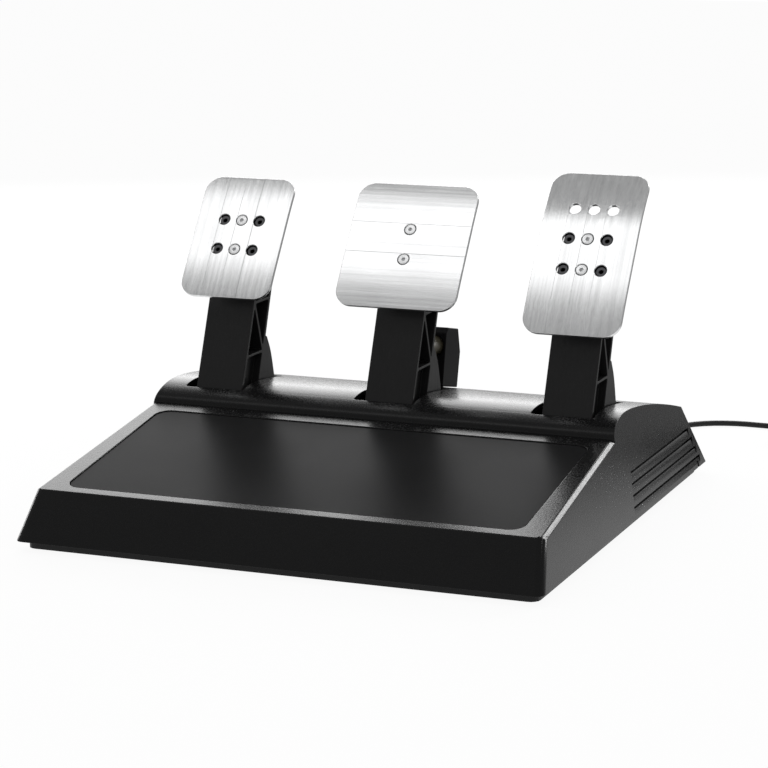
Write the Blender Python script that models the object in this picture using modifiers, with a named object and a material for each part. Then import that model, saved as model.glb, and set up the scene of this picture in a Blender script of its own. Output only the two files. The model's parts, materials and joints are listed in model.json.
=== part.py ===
"""Floor unit with three pedals for a driving simulator.

A moulded wedge with a rear hood stands on a steel plate and rubber feet. Clutch, brake and throttle arms pivot
on pins in folded steel brackets under the hood. Each arm pushes a return spring down and turns a rotary sensor
through a toothed sector. X runs across the pedals, +Y away from the driver and +Z up. All sizes are in metres.
"""

import math

import bmesh
import bpy
from mathutils import Matrix, Vector

# Fits
SEAT_GAP = 0.0003        # air between two pieces that touch
SLIDE_GAP = 0.0006       # air beside a piece that moves past another

# Base shell
BASE_WIDTH = 0.3294      # across the lower rim
BASE_DEPTH = 0.354
RIM_HEIGHT = 0.006       # lower rim above the floor
FRONT_HEIGHT = 0.0346    # front top edge above the floor
FRONT_SETBACK = 0.0187   # front top edge behind the front lower edge
HOOD_START = 0.1686      # hood's foot behind the front lower edge
HOOD_FOOT_HEIGHT = 0.0587
CREST_BACK = 0.0304      # crest of the hood behind its foot
CREST_HEIGHT = 0.0703
HOOD_END = 0.3175        # top of the rear face, behind the front lower edge
HOOD_END_HEIGHT = 0.0501
ROOF_POWER = 1.54        # how late the roof bends down behind its crest
NOSE_STEPS = 7
ROOF_STEPS = 7
SIDE_DRAFT = 0.188       # how far a side leans in for each metre of height
WALL = 0.003
CORNER_RADIUS = 0.0065   # front upright corners
RIM_CHAMFER = 0.0028     # along the wedge's sides
HOOD_FILLET = 0.0055     # along the hood's sides

# Heel pad
PAD_WIDTH = 0.2868
PAD_FRONT = 0.0075       # wedge's front top edge to the pad, along the slope
PAD_BACK = 0.0125        # pad to the hood's foot, along the slope
PAD_THICKNESS = 0.0011
PAD_CORNER = 0.009

# Louvres in both sides
LOUVRE_COUNT = 4
LOUVRE_TOP = 0.0349
LOUVRE_PITCH = 0.0070
LOUVRE_DEPTH = 0.0018
LOUVRE_LIP = 0.0009      # plain strip between two louvres, less the run-out's
LOUVRE_RUN_OUT = 0.0002  # how far the sloping face would pass out of the side
LOUVRE_START = 0.1896    # behind the front lower edge
LOUVRE_SHIFT = 0.0015    # each lower one starts this much further forward
LOUVRE_END = 0.006       # in front of the rear face
NOTCH_WIDTH = 0.0025
NOTCH_HEIGHT = 0.0105
NOTCH_FROM_END = 0.019

# Plate, feet and screws under the base
PLATE_LIFT = 0.0005      # plate's underside above the lower rim
PLATE_THICKNESS = 0.002
PLATE_EDGE_GAP = 0.0005
SKIRT_FOOT = 0.001       # lower edge of the plate's skirt above the floor
SKIRT_SIDE = 0.005       # skirt inside the shell's rim, at the sides
SKIRT_END = 0.0065       # and at the front and rear
SKIRT_WALL = 0.002
SKIRT_CORNER = 0.006
FOOT_RADIUS = 0.010
BOSS_RADIUS = 0.0042
BASE_SCREW_RADIUS = 0.0014
BASE_SCREW_GRIP = 0.008
HOLE_EASE = 0.0004       # how much wider than its screw a clearance hole is, in radius
OUTER_X = BASE_WIDTH / 2
BOSS_PLACES = (
    (0.0287 - OUTER_X, 0.036), (0.0, 0.036), (OUTER_X - 0.0287, 0.036),
    (0.0157 - OUTER_X, 0.130), (OUTER_X - 0.0157, 0.130),
    (0.0287 - OUTER_X, 0.305), (0.030, 0.305), (OUTER_X - 0.0287, 0.305),
)                        # across, and behind the front lower edge
FOOT_PLACES = {
    "front_left": (0.0187 - OUTER_X, 0.0195), "front_right": (OUTER_X - 0.0187, 0.0195),
    "rear_left": (0.0187 - OUTER_X, BASE_DEPTH - 0.0195), "rear_right": (OUTER_X - 0.0187, BASE_DEPTH - 0.0195),
}

# Pedals
PEDAL_PITCH = (BASE_WIDTH - 0.0946) / 2    # 117.4 mm
BRAKE_X = 0.0025
PIVOT_BACK = 0.184       # pivot axis behind the front lower edge
PIVOT_HEIGHT = 0.031
PEDAL_TRAVEL = math.radians(20)
BRAKE_TRAVEL = math.radians(12)

# Arm, in its own frame: along the arm from the pivot, and forward of the pivot
ARM_WIDTH = 0.032
ARM_LEAN = math.radians(21)
ARM_FRONT = 0.0141
ARM_REAR = 0.0144        # behind the pivot's line, at the pivot
ARM_TAPER = 0.033        # how the rear face closes up along the arm
ARM_WALL = 0.0028
ARM_WEB = 0.003
RIB = 0.0016
RIB_HEIGHTS = (0.0875, 0.1210, 0.1390)    # of the level ribs above the floor, at rest
LOWER_POCKET_FOOT = 0.053
LOWER_POCKET_DEPTH = 0.005
HUB_BORE = 0.0058
BUSH_RADIUS = 0.0055
PIN_RADIUS = 0.0040

# Head of the arm and face plate
SCREW_ALONG = 0.1245     # lower face plate screw along the arm
SCREW_FORWARD = 0.0213   # and forward of the pivot's line, at the plate's face
PLATE_LEAN = math.radians(34.9)
SCREW_ROW = 0.0212       # between the rows of holes
SCREW_COLUMN = 0.0123    # between the columns of holes
HEAD_BELOW = 0.012       # head below the lower screw
HEAD_ABOVE = 0.009       # head above the upper screw
HEAD_DEPTH = 0.018
FACE_THICKNESS = 0.0025
FACE_CORNER = 0.011
FACE_HOLE = 0.0046
FACE_SCREW_HEAD = 0.0043
FACE_SCREW_HEAD_HEIGHT = 0.0013
FACE_SCREW_SHANK = 0.0021
FACE_SCREW_SOCKET = 0.0014
SCREW_HOLE = 0.0025
SCREW_HOLE_DEPTH = 0.009

# Fin and lever behind the arm, relative to the pivot
FIN_THICKNESS = 0.0025
FIN_ROOT = 0.075         # where the fins leave the arm, along it
FIN_PROFILE = (
    (0.0400, 0.0650), (0.0460, 0.0540), (0.0510, 0.0380), (0.0540, 0.0260), (0.0556, 0.0150),
    (0.0540, 0.0100),
)                        # rear edge, from its tip down to the lever
LEVER_FOOT = 0.0100      # lower edge of the fins above the pivot
SEAT_HEIGHT = 0.0137     # spring seat above the pivot
SEAT_THICKNESS = 0.003
SPRING_BACK = 0.045      # spring's axis behind the pivot

# Return spring
SPRING_RADIUS = 0.0075
SPRING_WIRE = 0.0009     # wire radius
SPRING_TURNS = 5.5
SPRING_STEPS = 8        # points a turn
GUIDE_RADIUS = 0.0055
GUIDE_HEIGHT = 0.011
GUIDE_FLANGE = 0.0105
GUIDE_FLANGE_HEIGHT = 0.0015

# Bracket
CHEEK = 0.0025
BRACKET_FLOOR = 0.0025
BRACKET_FRONT = 0.018    # in front of the pivot
BRACKET_REAR = 0.060
CHEEK_REAR_HEIGHT = 0.018    # top of the cheeks' rear end above the bracket's floor
CHEEK_EAR = 0.011        # radius round the pin
BRACKET_SCREW = 0.0015
BRACKET_SCREW_INSET = 0.006

# Pin, clip, sensor and gears
PIN_HEAD = 0.0065
PIN_HEAD_HEIGHT = 0.002
CLIP_THICKNESS = 0.001
CLIP_RADIUS = 0.0068
GROOVE_DEPTH = 0.0009
PIN_TAIL = 0.0015
GEAR_MODULE = 0.001
SECTOR_TEETH = 48        # on a full circle
PINION_TEETH = 12
GEAR_BACKLASH = 0.00030  # taken off each tooth's width
GEAR_ADDENDUM = 0.8      # in modules
GEAR_DEDENDUM = 1.2
PRESSURE_ANGLE = math.radians(20)
GEAR_WIDTH = 0.004
SECTOR_HUB = 0.0100
SECTOR_MARGIN = math.radians(11)
SENSOR_ANGLE = math.radians(-12)    # pinion seen from the pivot, above the level
SENSOR_RADIUS = 0.0085
SENSOR_LENGTH = 0.008
SENSOR_BUSH = 0.0035
SENSOR_SHAFT = 0.0019
SHAFT_DEPTH = 0.005      # shaft inside the sensor's housing
TERMINAL = 0.0012

# Brake stop
STOP_WIDTH = 0.018
STOP_FRONT = 0.257       # front face at the roof, behind the front lower edge
STOP_DEPTH = 0.029
STOP_HEIGHT = 0.0395     # square to the roof
STOP_CHAMFER_BACK = 0.006
STOP_CHAMFER_DOWN = 0.015
STOP_FRONT_CUT = 0.004
STOP_BORE = 0.0076
STOP_BORE_DEPTH = 0.007
BUMPER_LIFT = 0.0265     # bumper's axis above the roof
BUMPER_TIP = 0.0034
BUMPER_COLLAR = 0.003
STOP_SCREW = 0.0016
STOP_SCREW_GRIP = 0.010

# Circuit board and leads
BOARD = (0.052, 0.034, 0.0016)
BOARD_CENTRE = (0.062, 0.292)    # across, and behind the front lower edge
BOARD_LIFT = 0.006       # board's underside above the base plate
POST_RADIUS = 0.0024     # posts pressed into the base plate
BOARD_SCREW = 0.0013
BOARD_HOLE_INSET = 0.0045
LEAD_RADIUS = 0.0010
CHIP = (0.012, 0.012, 0.0018)
CHIP_INSET = (0.018, 0.013)      # from the board's front left corner
SOCKET_WIDTH = 0.007
SOCKET_DEPTH = 0.006
PORT = (0.009, 0.007, 0.0065)    # socket of the main lead
PORT_INSET = 0.007

# Main lead
CORD_DIAMETER = 0.004
EXIT_X = 0.092
EXIT_HEIGHT = 0.021
RELIEF_COLLAR = 0.0075
RELIEF_COLLAR_THICKNESS = 0.0025
RELIEF_BODY = 0.0050
RELIEF_TIP = 0.0034
RELIEF_LENGTH = 0.024    # outside the wall
FLOOR_REST = CORD_DIAMETER / 2 + 0.0001
COIL_REST = CORD_DIAMETER / 2 + 0.0010    # lowest turn, which lies on the tie
COIL_CENTRE = (0.2215, 0.2920)
COIL_MEAN_RADIUS = 0.0220
COIL_LAYERS = 4
COIL_TURNS = 11.25       # in all, so that the lead leaves a quarter turn on from where it came
COIL_POINTS = 24         # a turn
COIL_PITCH = 0.00448     # between turns and between layers
PLUG = (0.0097, 0.0150, 0.0066)
PLUG_Y = 0.218
PLUG_BOOT = 0.005
PLUG_BOOT_RADIUS = 0.0032
TIE_THICKNESS = 0.0007
TIE_WIDTH = 0.004
TIE_ANGLE = math.radians(250)

# Places that follow
FRONT_Y = -BASE_DEPTH / 2
REAR_Y = BASE_DEPTH / 2
HOOD_Y = FRONT_Y + HOOD_START
CREST_Y = HOOD_Y + CREST_BACK
HOOD_END_Y = FRONT_Y + HOOD_END
PIVOT_Y = FRONT_Y + PIVOT_BACK
PLATE_BOTTOM = RIM_HEIGHT + PLATE_LIFT
PLATE_TOP = PLATE_BOTTOM + PLATE_THICKNESS
DECK = PLATE_TOP + SEAT_GAP                   # where brackets and posts stand
BRACKET_TOP = DECK + BRACKET_FLOOR
LEFT_CHEEK = -ARM_WIDTH / 2 - GEAR_WIDTH - 2 * SEAT_GAP    # inner face, from the arm's middle
RIGHT_CHEEK = ARM_WIDTH / 2 + SEAT_GAP
PEDALS = (("clutch", BRAKE_X - PEDAL_PITCH), ("brake", BRAKE_X), ("throttle", BRAKE_X + PEDAL_PITCH))

BLACK = (0.018, 0.018, 0.019)


def clear_scene():
    """Remove what the scene holds."""
    for obj in list(bpy.data.objects):
        bpy.data.objects.remove(obj, do_unlink=True)


def new_collection(name, hidden=False):
    """Add a collection to the scene."""
    collection = bpy.data.collections.new(name)
    collection.hide_render = hidden
    bpy.context.scene.collection.children.link(collection)
    return collection


def make_material(name, colour, roughness, metallic=0.0):
    """Principled material with a plain finish."""
    material = bpy.data.materials.new(name)
    material.use_nodes = True
    shader = material.node_tree.nodes["Principled BSDF"]
    shader.inputs["Base Color"].default_value = (*colour, 1.0)
    shader.inputs["Roughness"].default_value = roughness
    shader.inputs["Metallic"].default_value = metallic
    material.diffuse_color = (*colour, 1.0)
    return material


clear_scene()
PARTS = new_collection("pedal_unit")
CUTTERS = new_collection("cutters", hidden=True)

SHELL_PLASTIC = make_material("shell_plastic", BLACK, 0.45)
PAD_SHEET = make_material("pad_sheet", (0.012, 0.012, 0.013), 0.30)
ARM_PLASTIC = make_material("arm_plastic", BLACK, 0.50)
BRUSHED = make_material("brushed_metal", (0.62, 0.63, 0.64), 0.32, 1.0)
STEEL = make_material("zinc_steel", (0.52, 0.53, 0.54), 0.35, 1.0)
DARK_STEEL = make_material("dark_steel", (0.05, 0.05, 0.055), 0.40, 1.0)
SPRING_STEEL = make_material("spring_steel", (0.42, 0.42, 0.43), 0.30, 1.0)
RUBBER = make_material("rubber", (0.022, 0.022, 0.022), 0.85)
GEAR_PLASTIC = make_material("gear_plastic", (0.72, 0.70, 0.64), 0.45)
BRONZE = make_material("bush_bronze", (0.45, 0.30, 0.14), 0.40, 1.0)
BOARD_GREEN = make_material("board", (0.02, 0.12, 0.05), 0.50)
CORD_PLASTIC = make_material("cord_plastic", (0.02, 0.02, 0.02), 0.50)
CLEAR_PLASTIC = make_material("plug_plastic", (0.70, 0.72, 0.74), 0.20)


# ---- shapes ----

def add_object(name, mesh, material, parent=None, collection=None):
    """Object from a mesh, with one material, in a collection."""
    obj = bpy.data.objects.new(name, mesh)
    mesh.materials.clear()
    if material:
        mesh.materials.append(material)
    obj.parent = parent
    (collection or PARTS).objects.link(obj)
    return obj


def finish_mesh(bm, name, sharp=math.radians(35)):
    """Mesh from a bmesh, with its faces outward and shaded smooth up to a sharp angle."""
    bmesh.ops.remove_doubles(bm, verts=bm.verts, dist=1e-6)
    bmesh.ops.recalc_face_normals(bm, faces=bm.faces)
    mesh = bpy.data.meshes.new(name)
    bm.to_mesh(mesh)
    bm.free()
    mesh.shade_smooth()
    mesh.set_sharp_from_angle(angle=sharp)
    return mesh


def evaluated_mesh(obj):
    """The object's mesh with its modifiers applied. The object itself is removed."""
    graph = bpy.context.evaluated_depsgraph_get()
    mesh = bpy.data.meshes.new_from_object(obj.evaluated_get(graph))
    data = obj.data
    bpy.data.objects.remove(obj, do_unlink=True)
    if isinstance(data, bpy.types.Curve):
        bpy.data.curves.remove(data)
    return mesh


def to_bmesh(mesh):
    """Bmesh from a mesh, which is removed."""
    bm = bmesh.new()
    bm.from_mesh(mesh)
    bpy.data.meshes.remove(mesh)
    return bm


def flat_prism(loops, thickness):
    """Bmesh of a flat outline in XY, with holes as further loops, extruded about Z = 0."""
    curve = bpy.data.curves.new("outline", "CURVE")
    curve.dimensions = "2D"
    curve.fill_mode = "BOTH"
    curve.extrude = thickness / 2
    for loop in loops:
        spline = curve.splines.new("POLY")
        spline.points.add(len(loop) - 1)
        for point, (u, v) in zip(spline.points, loop):
            point.co = (u, v, 0, 1)
        spline.use_cyclic_u = True
    obj = bpy.data.objects.new("outline", curve)
    CUTTERS.objects.link(obj)
    bm = to_bmesh(evaluated_mesh(obj))
    bmesh.ops.remove_doubles(bm, verts=bm.verts, dist=1e-6)
    return bm


def side_prism(loops, x_low, x_high):
    """Bmesh of an outline given as (y, z), run across from x_low to x_high."""
    bm = flat_prism(loops, x_high - x_low)
    turn = Matrix(((0, 0, 1, (x_low + x_high) / 2), (1, 0, 0, 0), (0, 1, 0, 0), (0, 0, 0, 1)))
    bmesh.ops.transform(bm, matrix=turn, verts=bm.verts)
    return bm


def level_prism(loops, z_low, z_high):
    """Bmesh of an outline given as (x, y), from z_low to z_high."""
    bm = flat_prism(loops, z_high - z_low)
    bmesh.ops.translate(bm, vec=(0, 0, (z_low + z_high) / 2), verts=bm.verts)
    return bm


def box(low, high):
    """Bmesh of a box between two corners."""
    bm = bmesh.new()
    size = [b - a for a, b in zip(low, high)]
    middle = [(a + b) / 2 for a, b in zip(low, high)]
    matrix = Matrix.Translation(middle) @ Matrix.Diagonal((*size, 1))
    bmesh.ops.create_cube(bm, size=1, matrix=matrix)
    return bm


def turned(profile, steps=14, closed=False):
    """Bmesh of a profile given as (radius, height), turned about Z."""
    bm = bmesh.new()
    verts = [bm.verts.new((radius, 0, height)) for radius, height in profile]
    for first, second in zip(verts, verts[1:] + verts[:1] if closed else verts[1:]):
        bm.edges.new((first, second))
    mesh = bpy.data.meshes.new("profile")
    bm.to_mesh(mesh)
    bm.free()
    obj = bpy.data.objects.new("profile", mesh)
    CUTTERS.objects.link(obj)
    screw = obj.modifiers.new("turn", "SCREW")
    screw.steps = steps
    screw.render_steps = steps
    screw.use_merge_vertices = True
    screw.merge_threshold = 0.00001
    result = to_bmesh(evaluated_mesh(obj))
    bmesh.ops.remove_doubles(result, verts=result.verts, dist=1e-6)
    bmesh.ops.recalc_face_normals(result, faces=result.faces)
    return result


def rod(radius, z_low, z_high, steps=14):
    """Bmesh of a plain cylinder about Z."""
    bm = bmesh.new()
    matrix = Matrix.Translation((0, 0, (z_low + z_high) / 2))
    bmesh.ops.create_cone(bm, cap_ends=True, segments=steps, radius1=radius, radius2=radius,
                          depth=z_high - z_low, matrix=matrix)
    return bm


def tube(points, radius, resolution=2):
    """Bmesh of a round bar along points."""
    curve = bpy.data.curves.new("wire", "CURVE")
    curve.dimensions = "3D"
    curve.bevel_depth = radius
    curve.bevel_resolution = resolution
    curve.use_fill_caps = True
    spline = curve.splines.new("POLY")
    spline.points.add(len(points) - 1)
    for point, place in zip(spline.points, points):
        point.co = (*place, 1)
    obj = bpy.data.objects.new("wire", curve)
    CUTTERS.objects.link(obj)
    bm = to_bmesh(evaluated_mesh(obj))
    bmesh.ops.remove_doubles(bm, verts=bm.verts, dist=1e-6)
    return bm


def moved(bm, matrix):
    """The bmesh after a matrix."""
    bmesh.ops.transform(bm, matrix=matrix, verts=bm.verts)
    return bm


def merged(*shapes):
    """One bmesh that holds several separate shapes."""
    result = bmesh.new()
    for shape in shapes:
        mesh = bpy.data.meshes.new("shape")
        shape.to_mesh(mesh)
        shape.free()
        result.from_mesh(mesh)
        bpy.data.meshes.remove(mesh)
    return result


def across_x(x=0.0, y=0.0, z=0.0):
    """Matrix that lays the Z axis along +X at a place."""
    return Matrix.Translation((x, y, z)) @ Matrix.Rotation(math.pi / 2, 4, "Y")


def back_y(x=0.0, y=0.0, z=0.0):
    """Matrix that lays the Z axis along +Y at a place."""
    return Matrix.Translation((x, y, z)) @ Matrix.Rotation(-math.pi / 2, 4, "X")


def boolean(obj, bm, operation="DIFFERENCE"):
    """Cut a bmesh from an object, or add it. The cutter has the object's parent."""
    mesh = finish_mesh(bm, f"{obj.name}_{operation.lower()}")
    cutter = add_object(mesh.name, mesh, None, obj.parent, CUTTERS)
    cutter.hide_render = True
    cutter.display_type = "WIRE"
    modifier = obj.modifiers.new(operation.lower(), "BOOLEAN")
    modifier.operation = operation
    modifier.solver = "EXACT"
    modifier.object = cutter
    return obj


def arc(centre, radius, start, end, count):
    """Points on an arc, with both ends. Angles are in radians."""
    step = (end - start) / (count - 1)
    return [(centre[0] + radius * math.cos(start + step * i), centre[1] + radius * math.sin(start + step * i))
            for i in range(count)]


def circle(centre, radius, count=14):
    """Points round a circle."""
    return arc(centre, radius, 0, math.tau * (1 - 1 / count), count)


def rounded_rectangle(low, high, radius, steps=4):
    """Points round a rectangle with rounded corners."""
    points = []
    corners = ((high[0] - radius, low[1] + radius, -90), (high[0] - radius, high[1] - radius, 0),
               (low[0] + radius, high[1] - radius, 90), (low[0] + radius, low[1] + radius, 180))
    for x, y, start in corners:
        points += arc((x, y), radius, math.radians(start), math.radians(start + 90), steps + 1)
    return points


def inset_outline(points, distances):
    """Outline moved inwards, edge by edge. Points run anticlockwise, and edge i leaves point i."""
    count = len(points)
    lines = []
    for i, inset in enumerate(distances):
        start, end = Vector(points[i]), Vector(points[(i + 1) % count])
        along = (end - start).normalized()
        lines.append((start + Vector((-along.y, along.x)) * inset, along))
    result = []
    for i in range(count):
        (p, r), (q, s) = lines[i - 1], lines[i]
        cross = r.x * s.y - r.y * s.x
        if abs(cross) < 1e-6:
            result.append(tuple(q))
            continue
        t = ((q.x - p.x) * s.y - (q.y - p.y) * s.x) / cross
        result.append(tuple(p + r * t))
    return result


# ---- base ----

def roof_height(y):
    """Height of the hood's outer surface at a place behind its foot."""
    if y <= CREST_Y:
        share = (CREST_Y - y) / CREST_BACK
        return HOOD_FOOT_HEIGHT + (CREST_HEIGHT - HOOD_FOOT_HEIGHT) * math.sqrt(max(0.0, 1 - share ** 2))
    share = (y - CREST_Y) / (HOOD_END_Y - CREST_Y)
    return CREST_HEIGHT - (CREST_HEIGHT - HOOD_END_HEIGHT) * share ** ROOF_POWER


def slope_height(y):
    """Height of the wedge's top at a place in front of the hood."""
    start = FRONT_Y + FRONT_SETBACK
    return FRONT_HEIGHT + (HOOD_FOOT_HEIGHT - FRONT_HEIGHT) * (y - start) / (HOOD_Y - start)


def top_height(y):
    """Height of the shell's outer top anywhere."""
    return roof_height(y) if y > HOOD_Y else slope_height(y)


def roof_angle(y):
    """Slope of the roof, as an angle that is negative where it falls towards the rear."""
    step = 0.0005
    return math.atan2(roof_height(y + step) - roof_height(y - step), 2 * step)


def base_profile():
    """Side outline of the shell as (y, z), anticlockwise from the front lower edge."""
    points = [(FRONT_Y, RIM_HEIGHT), (REAR_Y, RIM_HEIGHT)]
    for i in range(ROOF_STEPS + 1):
        y = HOOD_END_Y + (CREST_Y - HOOD_END_Y) * i / ROOF_STEPS
        points.append((y, roof_height(y)))
    for i in range(1, NOSE_STEPS + 1):
        y = CREST_Y - CREST_BACK * math.sin(math.pi / 2 * i / NOSE_STEPS)
        points.append((y, roof_height(y)))
    points.append((FRONT_Y + FRONT_SETBACK, FRONT_HEIGHT))
    return points


def half_width(z):
    """Half of the shell's outer width at a height."""
    return BASE_WIDTH / 2 - SIDE_DRAFT * (z - RIM_HEIGHT)


def drafted_body(profile, inset, corner):
    """Closed body from a side outline, with leaning sides and rounded upright front corners."""
    side_inset = inset * math.hypot(1, SIDE_DRAFT)
    bm = side_prism([profile], -1, 1)
    for vert in bm.verts:
        vert.co.x = math.copysign(half_width(vert.co.z) - side_inset, vert.co.x)
    bmesh.ops.recalc_face_normals(bm, faces=bm.faces)
    bmesh.ops.dissolve_limit(bm, angle_limit=math.radians(0.5), verts=bm.verts, edges=bm.edges)
    front = profile[-1], profile[0]
    upright = [edge for edge in bm.edges if is_side_edge(edge, front)]
    bmesh.ops.bevel(bm, geom=upright, offset=corner, segments=4, profile=0.5, affect="EDGES",
                    clamp_overlap=True)
    return bm


def is_side_edge(edge, ends):
    """Whether an edge lies in a side face and runs between two points of the side outline."""
    first, second = edge.verts
    if first.co.x * second.co.x < 0:
        return False
    places = [Vector((vert.co.y, vert.co.z)) for vert in edge.verts]
    targets = [Vector(end) for end in ends]
    straight = max((places[0] - targets[0]).length, (places[1] - targets[1]).length)
    crossed = max((places[1] - targets[0]).length, (places[0] - targets[1]).length)
    return min(straight, crossed) < 1e-5


def top_side_edges(bm, low, high):
    """Edges between the top and a side, with both ends at y from low to high."""
    found = []
    for edge in bm.edges:
        if len(edge.link_faces) != 2:
            continue
        first, second = edge.verts
        if first.co.x * second.co.x < 0 or min(first.co.z, second.co.z) < FRONT_HEIGHT - 0.001:
            continue
        inside = all(low - 1e-5 < vert.co.y < high + 1e-5 for vert in edge.verts)
        across = sorted(abs(face.normal.x) for face in edge.link_faces)
        if inside and across[0] < 0.3 and across[1] > 0.9:
            found.append(edge)
    return found


def shell_body():
    """Outer body of the shell with its rounded edges."""
    bm = drafted_body(base_profile(), 0, CORNER_RADIUS)
    bm.normal_update()
    hood = top_side_edges(bm, HOOD_Y, HOOD_END_Y)
    bmesh.ops.bevel(bm, geom=hood, offset=HOOD_FILLET, segments=3, profile=0.5, affect="EDGES",
                    clamp_overlap=True)
    bm.normal_update()
    wedge = top_side_edges(bm, FRONT_Y, HOOD_Y)
    bmesh.ops.bevel(bm, geom=wedge, offset=RIM_CHAMFER, segments=1, profile=0.5, affect="EDGES",
                    clamp_overlap=True)
    return bm


def cavity_body():
    """Hollow of the shell, open at the bottom."""
    profile = base_profile()
    distances = [WALL] * len(profile)
    distances[0] = -WALL
    return drafted_body(inset_outline(profile, distances), WALL, CORNER_RADIUS - WALL)


def slope_matrix(back, across=0.0):
    """Frame on the wedge's top: X across, Y up the slope, Z out of it. back is along the slope."""
    start = Vector((across, FRONT_Y + FRONT_SETBACK, FRONT_HEIGHT))
    end = Vector((across, HOOD_Y, HOOD_FOOT_HEIGHT))
    along = (end - start).normalized()
    angle = math.atan2(along.z, along.y)
    return Matrix.Translation(start + along * back) @ Matrix.Rotation(angle, 4, "X")


def slope_length():
    """Length of the wedge's top from front to hood."""
    return math.hypot(HOOD_Y - FRONT_Y - FRONT_SETBACK, HOOD_FOOT_HEIGHT - FRONT_HEIGHT)


def pad_outline(grow=0.0):
    """Outline of the heel pad on the slope."""
    low = (-PAD_WIDTH / 2 - grow, PAD_FRONT - grow)
    high = (PAD_WIDTH / 2 + grow, slope_length() - PAD_BACK + grow)
    return rounded_rectangle(low, high, PAD_CORNER + grow)


def slot_range(x):
    """Corners of an arm's slot in the roof, as ((x, y), (x, y))."""
    inner_roof = roof_height(HOOD_Y + CREST_BACK / 2) - WALL
    reach = (PIVOT_HEIGHT - inner_roof) * math.tan(ARM_LEAN) + ARM_FRONT / math.cos(ARM_LEAN)
    front = PIVOT_Y - reach - 2 * SLIDE_GAP
    radius = max(math.hypot(*point) for point in FIN_PROFILE[1:])
    roof = roof_height(PIVOT_Y + radius) - PIVOT_HEIGHT
    rear = PIVOT_Y + math.sqrt(radius ** 2 - roof ** 2) + 2 * SLIDE_GAP
    left = x + LEFT_CHEEK - CHEEK + SEAT_GAP
    return (left, front), (x + ARM_WIDTH / 2 + 0.0015, rear)


def slot_cutters():
    """The three slots through the roof."""
    cutters = []
    for _, x in PEDALS:
        low, high = slot_range(x)
        outline = rounded_rectangle(low, high, 0.0015, 2)
        cutters.append(level_prism([outline], PIVOT_HEIGHT, CREST_HEIGHT + WALL))
    return merged(*cutters)


def louvre_cutter(index):
    """One louvre on the +X side: a level ledge with a face that slopes back out below it."""
    top = LOUVRE_TOP - LOUVRE_PITCH * index
    foot = top - LOUVRE_PITCH + LOUVRE_LIP
    start = FRONT_Y + LOUVRE_START - LOUVRE_SHIFT * index
    end = rear_face_y(top) - LOUVRE_END
    beyond = 0.002
    outline = [(half_width(top) - LOUVRE_DEPTH, top), (half_width(foot) + LOUVRE_RUN_OUT, foot),
               (half_width(foot) + beyond, foot), (half_width(top) + beyond, top)]
    bm = flat_prism([outline], end - start)
    turn = Matrix(((1, 0, 0, 0), (0, 0, -1, (start + end) / 2), (0, 1, 0, 0), (0, 0, 0, 1)))
    return moved(bm, turn)


def rear_face_y(z):
    """Outer face of the rear wall at a height."""
    return REAR_Y - (z - RIM_HEIGHT) * (REAR_Y - HOOD_END_Y) / (HOOD_END_HEIGHT - RIM_HEIGHT)


def rear_lean():
    """Thickness of the leaning rear wall along Y, for each unit square to it."""
    rise = HOOD_END_HEIGHT - RIM_HEIGHT
    return math.hypot(REAR_Y - HOOD_END_Y, rise) / rise


def front_face_y(z):
    """Outer face of the front wall at a height."""
    return FRONT_Y + (z - RIM_HEIGHT) * FRONT_SETBACK / (FRONT_HEIGHT - RIM_HEIGHT)


def louvre_cutters():
    """Louvres of both sides."""
    return merged(*[moved(louvre_cutter(index), Matrix.Diagonal((side, 1, 1, 1)))
                    for side in (1, -1) for index in range(LOUVRE_COUNT)])


def notch_cutters():
    """Short notches in the lower rim of both sides."""
    y = REAR_Y - NOTCH_FROM_END
    low = (BASE_WIDTH / 2 - 2 * WALL, y - NOTCH_WIDTH / 2, 0)
    high = (BASE_WIDTH / 2 + WALL, y + NOTCH_WIDTH / 2, NOTCH_HEIGHT)
    return merged(*[moved(box(low, high), Matrix.Diagonal((side, 1, 1, 1))) for side in (1, -1)])


def screw_bosses():
    """Bosses under the shell's top that take the base plate's screws."""
    shapes = []
    for x, back in BOSS_PLACES:
        y = FRONT_Y + back
        lowest = min(top_height(y - BOSS_RADIUS), top_height(y + BOSS_RADIUS))
        shapes.append(moved(rod(BOSS_RADIUS, DECK, lowest - WALL / 2, 8), Matrix.Translation((x, y, 0))))
    return merged(*shapes)


def pilot_holes():
    """Blind holes in the bosses."""
    depth = DECK + BASE_SCREW_GRIP + SLIDE_GAP
    return merged(*[moved(rod(BASE_SCREW_RADIUS + SEAT_GAP, 0, depth, 6),
                          Matrix.Translation((x, FRONT_Y + back, 0))) for x, back in BOSS_PLACES])


def build_shell():
    """Top moulding of the base."""
    shell = add_object("base_shell", finish_mesh(shell_body(), "base_shell"), SHELL_PLASTIC)
    boolean(shell, cavity_body())
    boolean(shell, screw_bosses(), "UNION")
    boolean(shell, pilot_holes())
    recess = flat_prism([pad_outline(SEAT_GAP)], 2 * (PAD_THICKNESS + SEAT_GAP))
    boolean(shell, moved(recess, slope_matrix(0)))
    boolean(shell, slot_cutters())
    boolean(shell, louvre_cutters())
    boolean(shell, notch_cutters())
    relief_hole = rod(RELIEF_BODY + SEAT_GAP, -0.02, 0.03, 16)
    boolean(shell, moved(relief_hole, back_y(EXIT_X, rear_face_y(EXIT_HEIGHT), EXIT_HEIGHT)))
    boolean(shell, merged(*[moved(rod(STOP_SCREW + HOLE_EASE, -0.008, 0.004, 12), matrix)
                            for matrix in stop_screw_places()]))


def build_heel_pad():
    """Smooth sheet let into the wedge's top."""
    bm = flat_prism([pad_outline()], PAD_THICKNESS)
    bmesh.ops.translate(bm, vec=(0, 0, -PAD_THICKNESS / 2), verts=bm.verts)
    add_object("heel_pad", finish_mesh(moved(bm, slope_matrix(0)), "heel_pad"), PAD_SHEET)


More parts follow.
